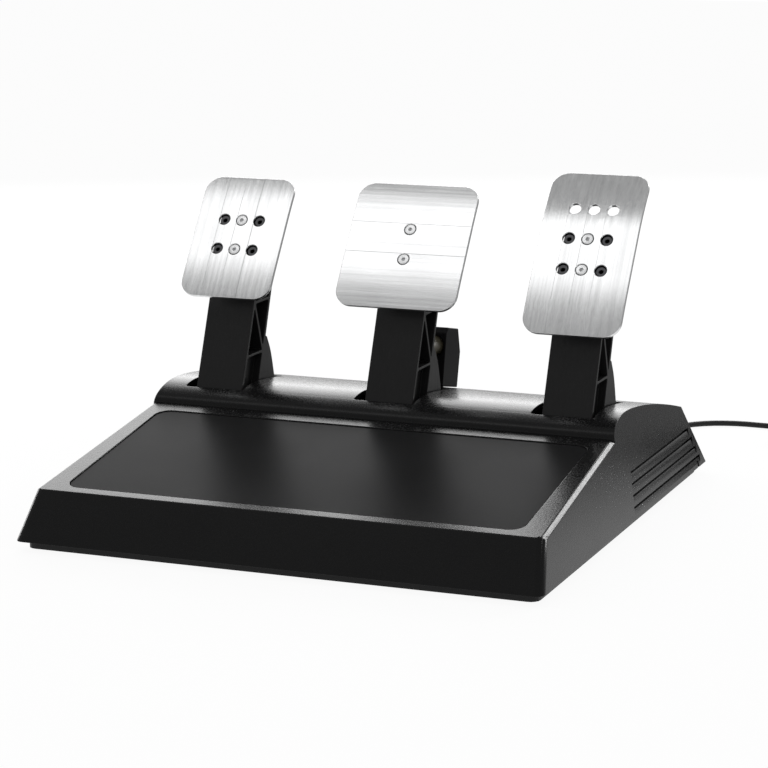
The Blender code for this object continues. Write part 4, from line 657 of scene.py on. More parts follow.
class Solid:
    """A closed mesh in the making, in metres in the frame of the CAD."""

    def __init__(self, bm: bmesh.types.BMesh) -> None:
        """Keep the mesh data."""
        self.bm = bm

    @classmethod
    def from_object(cls, obj: bpy.types.Object) -> "Solid":
        """Solid from an object with its modifiers applied.

        Args:
            obj: The object, which is removed.

        Returns:
            The solid.
        """
        graph = bpy.context.evaluated_depsgraph_get()
        mesh = bpy.data.meshes.new_from_object(obj.evaluated_get(graph))
        data = obj.data
        bpy.data.objects.remove(obj, do_unlink=True)
        (bpy.data.curves if isinstance(data, bpy.types.Curve) else bpy.data.meshes).remove(data)
        bm = bmesh.new()
        bm.from_mesh(mesh)
        bpy.data.meshes.remove(mesh)
        bmesh.ops.remove_doubles(bm, verts=bm.verts, dist=MERGE_DISTANCE)
        return cls(bm)

    @classmethod
    def group(cls, solids: list["Solid"]) -> "Solid":
        """Several separate solids as one.

        Args:
            solids: The solids, which are used up.

        Returns:
            The solid.
        """
        bm = bmesh.new()
        for solid in solids:
            mesh = bpy.data.meshes.new("shape")
            solid.bm.to_mesh(mesh)
            solid.bm.free()
            bm.from_mesh(mesh)
            bpy.data.meshes.remove(mesh)
        return cls(bm)

    @classmethod
    def prism(cls, loops: list[Loop], low: float, high: float, plane: Plane = Plane.LEVEL) -> "Solid":
        """A flat outline run from one level to another.

        Args:
            loops: The outline, then its holes.
            low: First level.
            high: Last level.
            plane: Which way it runs.

        Returns:
            The solid.
        """
        curve = bpy.data.curves.new("outline", "CURVE")
        curve.dimensions = "2D"
        curve.fill_mode = "BOTH"
        curve.extrude = (high - low) / 2
        for loop in loops:
            spline = curve.splines.new("POLY")
            spline.points.add(len(loop) - 1)
            for point, (u, v) in zip(spline.points, loop):
                point.co = (u, v, 0, 1)
            spline.use_cyclic_u = True
        solid = cls.from_object(linked("outline", curve)).moved(Matrix.Translation((0, 0, (low + high) / 2)))
        if plane is Plane.SIDE:
            solid.moved(Matrix(((0, 0, 1, 0), (1, 0, 0, 0), (0, 1, 0, 0), (0, 0, 0, 1))))
        return solid

    @classmethod
    def box(cls, low: tuple, high: tuple) -> "Solid":
        """Block between two corners, which is a start for cuts and bevels."""
        return cls.prism([[(low[0], low[1]), (high[0], low[1]), (high[0], high[1]), (low[0], high[1])]],
                         low[2], high[2])

    @classmethod
    def turned(cls, profile: Loop, steps: int = 32, closed: bool = False) -> "Solid":
        """A profile turned about Z.

        Args:
            profile: Points as (radius, height).
            steps: Facets round it.
            closed: Whether the profile closes on itself, as for a ring.

        Returns:
            The solid.
        """
        bm = bmesh.new()
        rings = []
        for radius, height in profile:
            if radius < 1e-7:
                rings.append([bm.verts.new((0, 0, height))] * steps)
            else:
                rings.append([bm.verts.new((radius * math.cos(math.tau * i / steps),
                                            radius * math.sin(math.tau * i / steps), height))
                              for i in range(steps)])
        pairs = zip(rings, rings[1:] + rings[:1]) if closed else zip(rings, rings[1:])
        for first, second in pairs:
            for i in range(steps):
                j = (i + 1) % steps
                corners = list(dict.fromkeys((first[i], first[j], second[j], second[i])))
                if len(corners) > 2:
                    bm.faces.new(corners)
        bmesh.ops.recalc_face_normals(bm, faces=bm.faces)
        return cls(bm)

    @classmethod
    def rod(cls, radius: float, low: float, high: float, steps: int = 32) -> "Solid":
        """Round bar about Z."""
        return cls.turned([(0, low), (radius, low), (radius, high), (0, high)], steps)

    @classmethod
    def tube(cls, points: list[Vector], radius: float, resolution: int = 3) -> "Solid":
        """Round bar along points."""
        return cls.from_object(wire_object("wire", points, radius, resolution))

    def moved(self, matrix: Matrix) -> "Solid":
        """This solid after a matrix."""
        bmesh.ops.transform(self.bm, matrix=matrix, verts=self.bm.verts)
        return self

    def as_object(self, name: str) -> bpy.types.Object:
        """Turn the solid into an object with its faces outward. The solid is used up.

        Args:
            name: Name of the object.

        Returns:
            The object.
        """
        bmesh.ops.remove_doubles(self.bm, verts=self.bm.verts, dist=MERGE_DISTANCE)
        bmesh.ops.recalc_face_normals(self.bm, faces=self.bm.faces)
        mesh = bpy.data.meshes.new(name)
        self.bm.to_mesh(mesh)
        self.bm.free()
        return linked(name, mesh)

    def joined(self, *others: "Solid", how: Join = Join.CUT) -> "Solid":
        """This solid with others cut from it or added to it.

        Args:
            others: Solids that are clear of each other.
            how: Cut or add.

        Returns:
            The result.
        """
        target, tool = self.as_object("target"), Solid.group(list(others)).as_object("tool")
        modifier = target.modifiers.new("join", "BOOLEAN")
        modifier.operation = how.value
        modifier.solver = "EXACT"
        modifier.object = tool
        result = Solid.from_object(target)
        bpy.data.objects.remove(tool, do_unlink=True)
        return result

    def eased(self, width: float, segments: int = 2, angle: float = 40.0, slack: float = 0.0) -> "Solid":
        """This solid with its sharp edges rounded.

        Args:
            width: Of the rounding.
            segments: Facets across it.
            angle: Edges sharper than this, in degrees, are rounded.
            slack: How far a point may stand outside the sharp solid, or 0 for no limit.

        Returns:
            The result.
        """
        bmesh.ops.dissolve_limit(self.bm, angle_limit=FLAT_ANGLE, verts=self.bm.verts, edges=self.bm.edges)
        sharp = BVHTree.FromBMesh(self.bm)
        obj = self.as_object("eased")
        modifier = obj.modifiers.new("ease", "BEVEL")
        modifier.width = width
        modifier.segments = segments
        modifier.limit_method = "ANGLE"
        modifier.angle_limit = math.radians(angle)
        modifier.use_clamp_overlap = False
        modifier.miter_outer = "MITER_ARC"
        solid = Solid.from_object(obj)
        for vert in solid.bm.verts if slack else ():
            place, normal, _, distance = sharp.find_nearest(vert.co)
            if distance > slack and (vert.co - place).dot(normal) > 0:
                vert.co = place
        return solid

    def faced(self) -> "Solid":
        """Keep the solid's own X and Y as a UV map.

        Returns:
            This solid.
        """
        layer = self.bm.loops.layers.uv.verify()
        for face in self.bm.faces:
            for loop in face.loops:
                loop[layer].uv = loop.vert.co.xy
        return self

    def show(self, name: str, body: str, finish: Finish, slot: str, replaces: tuple[str, ...] = (),
             sharp: float = 35.0) -> bpy.types.Object:
        """Make the solid a piece of the scene.

        Args:
            name: Name of the piece.
            body: CAD body that it rides on.
            finish: Its surface.
            slot: The record's material slot; not used.
            replaces: CAD nodes that it stands for.
            sharp: Angle up to which it is shaded smooth, in degrees.

        Returns:
            The piece.
        """
        obj = self.as_object(name)
        obj.data.shade_smooth()
        obj.data.set_sharp_from_angle(angle=math.radians(sharp))
        obj.data.materials.clear()
        obj.data.materials.append(dress(finish))
        weights = obj.modifiers.new("weights", "WEIGHTED_NORMAL")
        weights.keep_sharp = True
        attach(obj, body)
        if replaces:
            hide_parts(*replaces)
        LOG.info("%s: %d faces on %s", name, len(obj.data.polygons), body)
        return obj


# ---- repeats ----

@dataclass
class Repeat:
    """Copies of a small piece at a set of frames, made by Geometry Nodes."""

    name: str
    spin: float = 0.0           # how far a copy may be turned about its own axis
    seed: int = 11

    def tree(self) -> bpy.types.NodeTree:
        """Make the node tree, which sets a copy on each point and turns it to the point's axis.

        Returns:
            The tree, with named inputs.
        """
        tree = bpy.data.node_groups.new(self.name, "GeometryNodeTree")
        for name, kind in (("Places", "Geometry"), ("Piece", "Object"), ("Size", "Float"), ("Spin", "Float"),
                           ("Seed", "Int"), ("Finish", "Material")):
            tree.interface.new_socket(name, in_out="INPUT", socket_type=f"NodeSocket{kind}")
        tree.interface.new_socket("Copies", in_out="OUTPUT", socket_type="NodeSocketGeometry")
        add = tree.nodes.new
        start, end = add("NodeGroupInput"), add("NodeGroupOutput")
        axis, aim = add("GeometryNodeInputNamedAttribute"), add("FunctionNodeAlignRotationToVector")
        axis.data_type, aim.axis = "FLOAT_VECTOR", "Z"
        axis.inputs["Name"].default_value = "axis"
        least, chance = add("ShaderNodeMath"), add("FunctionNodeRandomValue")
        least.operation, chance.data_type = "MULTIPLY", "FLOAT"
        least.inputs[1].default_value = -1.0
        twist, turn = add("FunctionNodeAxisAngleToRotation"), add("FunctionNodeRotateRotation")
        twist.inputs["Axis"].default_value = (0, 0, 1)
        turn.rotation_space = "LOCAL"
        piece, copies = add("GeometryNodeObjectInfo"), add("GeometryNodeInstanceOnPoints")
        real, finish = add("GeometryNodeRealizeInstances"), add("GeometryNodeSetMaterial")
        for source, output, target, field_name in (
                (axis, "Attribute", aim, "Vector"), (start, "Spin", least, 0), (least, 0, chance, 2),
                (start, "Spin", chance, 3), (start, "Seed", chance, "Seed"), (chance, 1, twist, "Angle"),
                (aim, "Rotation", turn, "Rotation"), (twist, "Rotation", turn, "Rotate By"),
                (start, "Piece", piece, "Object"), (start, "Places", copies, "Points"),
                (piece, "Geometry", copies, "Instance"), (turn, "Rotation", copies, "Rotation"),
                (start, "Size", copies, "Scale"), (copies, "Instances", real, "Geometry"),
                (real, "Geometry", finish, "Geometry"), (start, "Finish", finish, "Material"),
                (finish, "Geometry", end, "Copies")):
            tree.links.new(source.outputs[output], target.inputs[field_name])
        return tree

    def show(self, piece: Solid, places: list[Matrix], finish: Finish, slot: str, body: str = "root") -> None:
        """Bake the copies into one piece of the scene.

        Args:
            piece: The piece about Z at the origin.
            places: Frames of the copies.
            finish: Their surface.
            slot: The record's material slot.
            body: CAD body that they ride on.
        """
        source = piece.as_object("piece")
        points = bpy.data.meshes.new("places")
        points.from_pydata([tuple(place.translation) for place in places], [], [])
        axes = points.attributes.new("axis", "FLOAT_VECTOR", "POINT")
        for item, place in zip(axes.data, places):
            item.vector = place.to_3x3().col[2]
        obj = linked("places", points)
        modifier = obj.modifiers.new("copies", "NODES")
        tree = self.tree()
        modifier.node_group = tree
        values = {"Piece": source, "Size": 1.0, "Spin": self.spin, "Seed": self.seed, "Finish": dress(finish)}
        for item in tree.interface.items_tree:
            if item.name in values and item.in_out == "INPUT":
                modifier[item.identifier] = values[item.name]
        result = Solid.from_object(obj)
        bpy.data.objects.remove(source, do_unlink=True)
        result.show(self.name, body, finish, slot)


# ---- base ----

@dataclass
class Base:
    """Moulded wedge with its hood, heel pad, feet, plate and screws."""

    width: float = 0.3294
    depth: float = 0.354
    rim: float = 0.006
    front_height: float = 0.0346
    front_setback: float = 0.0187
    hood_start: float = 0.1686
    hood_foot: float = 0.0587
    crest_back: float = 0.0304
    crest_height: float = 0.0703
    hood_end: float = 0.3175
    hood_end_height: float = 0.0501
    roof_power: float = 1.54
    side_draft: float = 0.188
    wall: float = 0.003
    corner: float = 0.0052
    rim_chamfer: float = 0.0021
    rim_run_in: float = 0.12    # of its length, cut before the front edge
    hood_fillet: float = 0.0055
    edge: float = 0.0005        # rounding of the sharp edges
    edge_angle: float = 38.0
    edge_slack: float = 0.00006
    slot_corner: float = 0.0015
    slot_floor: float = 0.031
    stop_screw_hole: float = 0.0020
    nose_steps: int = 14
    roof_steps: int = 20
    pad_width: float = 0.2868
    pad_front: float = 0.0075
    pad_back: float = 0.0125
    pad_thickness: float = 0.0011
    pad_corner: float = 0.009
    pad_drop: float = 0.0006    # of its top below the wedge's
    pad_edge: float = 0.00035
    louvre_count: int = 4
    louvre_top: float = 0.0349
    louvre_pitch: float = 0.0070
    louvre_depth: float = 0.0007
    louvre_deep: float = 0.0026
    louvre_groove: float = 0.0019
    louvre_lip: float = 0.0009
    louvre_run_out: float = 0.0002
    louvre_start: float = 0.1896
    louvre_shift: float = 0.0015
    louvre_end: float = 0.006
    notch_width: float = 0.0025
    notch_height: float = 0.0105
    notch_from_end: float = 0.019
    deck: float = 0.0088        # top of the base plate's fittings
    plate_bottom: float = 0.0065
    boss_radius: float = 0.0042
    screw_radius: float = 0.0014
    screw_grip: float = 0.008
    boss_places: tuple = ((-0.136, 0.036), (0.0, 0.036), (0.136, 0.036), (-0.149, 0.130), (0.149, 0.130),
                          (-0.136, 0.305), (0.030, 0.305), (0.136, 0.305))
    foot_places: tuple = (("front_left", -0.146, 0.0195), ("front_right", 0.146, 0.0195),
                          ("rear_left", -0.146, 0.3345), ("rear_right", 0.146, 0.3345))
    foot_radius: float = 0.010

    @property
    def front_y(self) -> float:
        """Front lower edge."""
        return -self.depth / 2

    @property
    def rear_y(self) -> float:
        """Rear lower edge."""
        return self.depth / 2

    @property
    def hood_y(self) -> float:
        """Foot of the hood."""
        return self.front_y + self.hood_start

    @property
    def crest_y(self) -> float:
        """Crest of the hood."""
        return self.hood_y + self.crest_back

    @property
    def hood_end_y(self) -> float:
        """Top of the rear face."""
        return self.front_y + self.hood_end

    def roof_height(self, y: float) -> float:
        """Height of the hood's outer surface at a place behind its foot.

        Args:
            y: The place.

        Returns:
            The height.
        """
        if y <= self.crest_y:
            share = (self.crest_y - y) / self.crest_back
            return self.hood_foot + (self.crest_height - self.hood_foot) * math.sqrt(max(0.0, 1 - share ** 2))
        share = (y - self.crest_y) / (self.hood_end_y - self.crest_y)
        return self.crest_height - (self.crest_height - self.hood_end_height) * share ** self.roof_power

    def top_height(self, y: float) -> float:
        """Height of the shell's outer top anywhere.

        Args:
            y: The place.

        Returns:
            The height.
        """
        if y > self.hood_y:
            return self.roof_height(y)
        start = self.front_y + self.front_setback
        return self.front_height + (self.hood_foot - self.front_height) * (y - start) / (self.hood_y - start)

    def roof_angle(self, y: float) -> float:
        """Slope of the roof, negative where it falls towards the rear."""
        step = 0.0005
        return math.atan2(self.roof_height(y + step) - self.roof_height(y - step), 2 * step)

    def profile(self) -> Loop:
        """Side outline as (y, z), anticlockwise from the front lower edge.

        Returns:
            The outline.
        """
        points = [(self.front_y, self.rim), (self.rear_y, self.rim)]
        for i in range(self.roof_steps + 1):
            y = self.hood_end_y + (self.crest_y - self.hood_end_y) * i / self.roof_steps
            points.append((y, self.roof_height(y)))
        for i in range(1, self.nose_steps + 1):
            y = self.crest_y - self.crest_back * math.sin(math.pi / 2 * i / self.nose_steps)
            points.append((y, self.roof_height(y)))
        points.append((self.front_y + self.front_setback, self.front_height))
        return points

    def half_width(self, z: float) -> float:
        """Half of the outer width at a height."""
        return self.width / 2 - self.side_draft * (z - self.rim)

    def rear_face_y(self, z: float) -> float:
        """Outer face of the rear wall at a height."""
        rise = self.hood_end_height - self.rim
        return self.rear_y - (z - self.rim) * (self.rear_y - self.hood_end_y) / rise

    def rear_lean(self) -> float:
        """Thickness of the leaning rear wall along Y, for each unit square to it."""
        rise = self.hood_end_height - self.rim
        return math.hypot(self.rear_y - self.hood_end_y, rise) / rise

    def drafted(self, profile: Loop, inset: float, corner: float, segments: int) -> Solid:
        """Closed body from a side outline, with leaning sides and rounded upright front corners.

        Args:
            profile: The side outline.
            inset: How far the sides lie inside the outer ones.
            corner: Radius of the front corners.
            segments: Facets in them.

        Returns:
            The body.
        """
        side_inset = inset * math.hypot(1, self.side_draft)
        bm = Solid.prism([profile], -1, 1, Plane.SIDE).bm
        for vert in bm.verts:
            vert.co.x = math.copysign(self.half_width(vert.co.z) - side_inset, vert.co.x)
        bmesh.ops.recalc_face_normals(bm, faces=bm.faces)
        bmesh.ops.dissolve_limit(bm, angle_limit=math.radians(0.02), verts=bm.verts, edges=bm.edges)
        ends = [Vector(profile[-1]), Vector(profile[0])]
        upright = [edge for edge in bm.edges if self.runs_between(edge, ends)]
        bmesh.ops.bevel(bm, geom=upright, offset=corner, segments=segments, profile=0.5, affect="EDGES",
                        clamp_overlap=True)
        return Solid(bm)

    @staticmethod
    def runs_between(edge: bmesh.types.BMEdge, ends: list[Vector]) -> bool:
        """Whether an edge lies in a side face and runs between two points of the side outline.

        Args:
            edge: The edge.
            ends: The two points as (y, z).

        Returns:
            True if it does.
        """
        first, second = edge.verts
        if first.co.x * second.co.x < 0:
            return False
        places = [Vector((vert.co.y, vert.co.z)) for vert in edge.verts]
        straight = max((places[0] - ends[0]).length, (places[1] - ends[1]).length)
        crossed = max((places[1] - ends[0]).length, (places[0] - ends[1]).length)
        return min(straight, crossed) < TOUCH_DISTANCE

    def side_edges(self, bm: bmesh.types.BMesh, low: float, high: float) -> list[bmesh.types.BMEdge]:
        """Edges between the top and a side.

        Args:
            bm: The shell.
            low: Least y of both ends.
            high: Greatest y of both ends.

        Returns:
            The edges.
        """
        found = []
        for edge in bm.edges:
            first, second = edge.verts
            if len(edge.link_faces) != 2 or first.co.x * second.co.x < 0:
                continue
            if min(first.co.z, second.co.z) < self.front_height - 0.001:
                continue
            across = sorted(abs(face.normal.x) for face in edge.link_faces)
            if (all(low - TOUCH_DISTANCE < vert.co.y < high + TOUCH_DISTANCE for vert in edge.verts)
                    and across[0] < 0.3 and across[1] > 0.9):
                found.append(edge)
        return found

    def outer_body(self) -> Solid:
        """Outer body of the shell with its rounded edges.

        Returns:
            The body.
        """
        solid = self.drafted(self.profile(), 0, self.corner, 8)
        solid.bm.normal_update()
        bmesh.ops.bevel(solid.bm, geom=self.side_edges(solid.bm, self.hood_y, self.hood_end_y),
                        offset=self.hood_fillet, segments=6, profile=0.5, affect="EDGES", clamp_overlap=True)
        return solid.joined(self.rim_cutter(1), self.rim_cutter(-1))

    def rim_cutter(self, side: int) -> Solid:
        """Cutter of the chamfer between the wedge's top and a side, from before the front to the hood.

        Args:
            side: 1 for the right side, -1 for the left.

        Returns:
            The cutter.
        """
        start = Vector((self.half_width(self.front_height), self.front_y + self.front_setback,
                        self.front_height))
        end = Vector((self.half_width(self.hood_foot), self.hood_y, self.hood_foot))
        before = start - (end - start) * self.rim_run_in
        down = Vector((self.side_draft, 0, -1)).normalized()
        bm = bmesh.new()
        rings = []
        for corner in (before, end):
            top, low = corner - Vector((self.rim_chamfer, 0, 0)), corner + down * self.rim_chamfer
            ring = (top + (top - low) * 2, low + (low - top) * 2, corner + Vector((0.01, 0, 0.01)))
            rings.append([bm.verts.new((side * point.x, point.y, point.z)) for point in ring])
        for i in range(3):
            j = (i + 1) % 3
            bm.faces.new((rings[0][i], rings[0][j], rings[1][j], rings[1][i]))
        bm.faces.new(rings[0])
        bm.faces.new(rings[1])
        bmesh.ops.recalc_face_normals(bm, faces=bm.faces)
        return Solid(bm)

    def cavity(self) -> Solid:
        """Cutter of the shell's hollow, open at the bottom.

        Returns:
            The cutter.
        """
        profile = self.profile()
        distances = [self.wall] * len(profile)
        distances[0] = -self.wall
        return self.drafted(inset_outline(profile, distances), self.wall, self.corner - self.wall, 6)

    def slope_frame(self) -> Matrix:
        """Frame on the wedge's top: X across, Y up the slope, Z out of it.

        Returns:
            The frame.
        """
        start = Vector((0, self.front_y + self.front_setback, self.front_height))
        end = Vector((0, self.hood_y, self.hood_foot))
        angle = math.atan2(end.z - start.z, end.y - start.y)
        return Matrix.Translation(start) @ Matrix.Rotation(angle, 4, "X")

    def pad_outline(self, grow: float = 0.0) -> Loop:
        """Outline of the heel pad on the slope.

        Args:
            grow: How much larger it is all round.

        Returns:
            The outline.
        """
        length = math.hypot(self.hood_y - self.front_y - self.front_setback,
                            self.hood_foot - self.front_height)
        low = (-self.pad_width / 2 - grow, self.pad_front - grow)
        high = (self.pad_width / 2 + grow, length - self.pad_back + grow)
        return rounded_rectangle(low, high, self.pad_corner + grow)

    def louvre(self, index: int, side: int) -> Solid:
        """Cutter of one louvre: a level ledge with a face that slopes back out below it.

        Args:
            index: Counted from the top.
            side: 1 for the right side, -1 for the left.

        Returns:
            The cutter.
        """
        top = self.louvre_top - self.louvre_pitch * index
        foot = top - self.louvre_pitch + self.louvre_lip
        start = self.front_y + self.louvre_start - self.louvre_shift * index
        end = self.rear_face_y(top) - self.louvre_end
        shadow = top - self.louvre_groove
        deep = self.half_width(top) - self.louvre_deep
        outline = [(deep, top), (deep, shadow), (self.half_width(shadow) - self.louvre_depth, shadow),
                   (self.half_width(foot) + self.louvre_run_out, foot),
                   (self.half_width(foot) + 0.002, foot), (self.half_width(top) + 0.002, top)]
        turn = Matrix(((side, 0, 0, 0), (0, 0, -1, 0), (0, 1, 0, 0), (0, 0, 0, 1)))
        return Solid.prism([outline], -end, -start).moved(turn)

    def notch(self, side: int) -> Solid:
        """Cutter of the short notch in the lower rim of a side.

        Args:
            side: 1 for the right side, -1 for the left.

        Returns:
            The cutter.
        """
        y = self.rear_y - self.notch_from_end
        outer = sorted((side * (self.width / 2 - 2 * self.wall), side * (self.width / 2 + self.wall)))
        return Solid.box((outer[0], y - self.notch_width / 2, 0),
                         (outer[1], y + self.notch_width / 2, self.notch_height))

    def bosses(self) -> list[Solid]:
        """Bosses under the top that take the base plate's screws.

        Returns:
            The bosses.
        """
        found = []
        for x, back in self.boss_places:
            y = self.front_y + back
            lowest = min(self.top_height(y - self.boss_radius), self.top_height(y + self.boss_radius))
            found.append(Solid.rod(self.boss_radius, self.deck, lowest - self.wall / 2, 16)
                         .moved(Matrix.Translation((x, y, 0))))
        return found

    def build_shell(self, slots: list[tuple[Point, Point]], exit_place: Vector, exit_radius: float,
                    stop_screws: list[Matrix]) -> None:
        """Build the top moulding.

        Args:
            slots: Corners of the arms' slots.
            exit_place: Where the lead leaves the rear wall.
            exit_radius: Radius of its hole.
            stop_screws: Frames of the brake stop's screws.
        """
        shell = self.outer_body().joined(self.cavity())
        shell = shell.joined(*self.bosses(), how=Join.ADD)
        depth = self.deck + self.screw_grip + SLIDE_GAP
        shell = shell.joined(*[Solid.rod(self.screw_radius + SEAT_GAP, 0, depth, 12)
                               .moved(Matrix.Translation((x, self.front_y + back, 0)))
                               for x, back in self.boss_places])
        thick = self.pad_thickness + SEAT_GAP
        recess = Solid.prism([self.pad_outline(SEAT_GAP)], -thick, thick).moved(self.slope_frame())
        shell = shell.joined(recess)
        shell = shell.joined(*[Solid.prism([rounded_rectangle(low, high, self.slot_corner, 4)],
                                           self.slot_floor, self.crest_height + self.wall)
                               for low, high in slots])
        shell = shell.joined(self.notch(1), self.notch(-1))
        shell = shell.joined(Solid.rod(exit_radius, -0.02, 0.03, 32).moved(back_y(*exit_place)))
        shell = shell.joined(*[Solid.rod(self.stop_screw_hole, -0.008, 0.004, 16).moved(matrix)
                               for matrix in stop_screws])
        shell = shell.eased(self.edge, 3, self.edge_angle, self.edge_slack)
        for side in (1, -1):
            shell = shell.joined(*[self.louvre(index, side) for index in range(self.louvre_count)])
        shell.show("shell_moulding", "root", SHELL_PLASTIC, "shell", ("base_shell",))

    def build_pad(self) -> None:
        """Build the smooth sheet let into the wedge's top."""
        pad = Solid.prism([self.pad_outline()], -self.pad_thickness, -self.pad_drop)
        pad = pad.eased(self.pad_edge, 2).moved(self.slope_frame())
        pad.show("heel_pad_sheet", "root", PAD_SHEET, "heel_pad", ("heel_pad",))

    def build_feet(self) -> None:
        """Build the round rubber feet with their ribbed tread."""
        top = self.plate_bottom - SEAT_GAP
        tread = [(0, 0.0002), (0.0016, 0.0002), (0.0020, 0), (0.0034, 0), (0.0038, 0.0003), (0.0048, 0.0003),
                 (0.0052, 0), (0.0066, 0), (0.0070, 0.0003), (0.0078, 0.0003), (0.0082, 0),
                 (self.foot_radius - 0.0008, 0), (self.foot_radius - 0.0002, 0.0004),
                 (self.foot_radius, 0.0012), (self.foot_radius, top - 0.0003),
                 (self.foot_radius - 0.0003, top), (0, top)]
        for name, x, back in self.foot_places:
            foot = Solid.turned(tread, 48).moved(Matrix.Translation((x, self.front_y + back, 0)))
            foot.show(f"foot_{name}", "root", RUBBER, "rubber", (f"rubber_foot_{name}",))

    def build_screws(self) -> None:
        """Build the screws that hold the base plate."""
        head = [(0, -0.0003), (0.0019, -0.0003), (0.0026, -0.0001), (0.0027, 0.0), (0.0014, 0.0002),
                (0.0013, self.screw_grip), (0.0008, self.screw_grip + 0.001), (0, self.screw_grip + 0.001)]
        screw = Solid.turned([(r, z - 0.0004) for r, z in head], 20)
        cross = [Solid.box((-0.0012, -0.0003, -0.002), (0.0012, 0.0003, -0.0003)),
                 Solid.box((-0.0003, -0.0012, -0.002), (0.0003, 0.0012, -0.0003))]
        screw = screw.joined(cross[0]).joined(cross[1])
        places = [Matrix.Translation((x, self.front_y + back, self.plate_bottom))
                  for x, back in self.boss_places]
        Repeat("base_screws", math.pi).show(screw, places, ZINC, "screw_steel")


# ---- pedals ----

@dataclass
class FacePlate:
    """Brushed plate with rows of round holes, engraved lines and a rolled top and foot."""

    width: float
    below: float                # lower edge below the lower screw
    above: float                # upper edge above the upper screw
    rows: int
    columns: int
    bend: float                 # radius of the roll above the screws
    finish: BrushedMetal
    lines_up: bool              # engraved lines run up the plate, else across it
    foot_bend: float = 0.45
    thickness: float = 0.0025
    corner: float = 0.011
    hole: float = 0.0039
    screw_row: float = 0.0212
    screw_column: float = 0.0123
    shank: float = 0.0021
    head_height: float = 0.0013
    line_width: float = 0.0005
    line_depth: float = 0.0003
    line_offset: float = -0.0004

    def hole_places(self) -> list[tuple[float, float, bool]]:
        """Find the middles of the holes.

        Returns:
            Each hole's x and y, and whether a screw sits in it.
        """
        reach = self.columns // 2
        return [(column * self.screw_column, row * self.screw_row, column == 0 and row < 2)
                for row in range(self.rows) for column in range(-reach, reach + 1)]

    def line_cutters(self) -> list[Solid]:
        """Cutters of the engraved lines on the flat plate.

        Returns:
            The cutters.
        """
        half, side = self.line_width / 2, self.width / 2 + 0.001
        low = -self.below - 0.001
        if self.lines_up:
            top = self.screw_row * 2 if self.rows > 2 else self.screw_row + self.above + 0.001
            places = [column * self.screw_column - self.hole - self.line_offset for column in (-1, 0, 1)]
            return [Solid.box((x - half, low, -self.line_depth), (x + half, top, 0.002)) for x in places]
        return [Solid.box((-side, row * self.screw_row + self.hole - half, -self.line_depth),
                          (side, row * self.screw_row + self.hole + half, 0.002)) for row in (0, 1)]

    def bent(self, solid: Solid) -> Solid:
        """Roll the flat plate away from the driver above the upper screw and below the lower one.

        Args:
            solid: The flat plate.

        Returns:
            The same solid, rolled.
        """
        bm = solid.bm
        top_start, foot_start = self.screw_row + self.hole, -self.hole
        step = 0.0025
        level = -self.below + step
        while level < self.screw_row + self.above:
            if not foot_start < level < top_start:
                bmesh.ops.bisect_plane(bm, geom=[*bm.verts, *bm.edges, *bm.faces], dist=1e-7,
                                       plane_co=(0, level, 0), plane_no=(0, 1, 0))
            level += step
        for vert in bm.verts:
            for start, radius, sign in ((top_start, self.bend, 1), (foot_start, self.foot_bend, -1)):
                run = sign * (vert.co.y - start)
                if run > 0:
                    height = radius + vert.co.z
                    vert.co.y = start + sign * height * math.sin(run / radius)
                    vert.co.z = height * math.cos(run / radius) - radius
        return solid

    def solid(self) -> Solid:
        """Make the plate in its own frame: Y up along it, Z out of it, from the lower screw.

        Returns:
            The plate.
        """
        half = self.width / 2
        top = self.screw_row + self.above
        loops = [rounded_rectangle((-half, -self.below), (half, top), self.corner, 12)]
        for x, y, screwed in self.hole_places():
            loops.append(circle((x, y), self.shank + SEAT_GAP if screwed else self.hole, 40))
        plate = Solid.prism(loops, -self.thickness, 0)
        depth = self.head_height + SEAT_GAP
        plate = plate.joined(*[Solid.rod(self.hole, -depth, 0.003, 40).moved(Matrix.Translation((x, y, 0)))
                               for x, y, screwed in self.hole_places() if screwed])
        plate = plate.eased(0.0004, 3, 50)
        return self.bent(plate.joined(*self.line_cutters()))


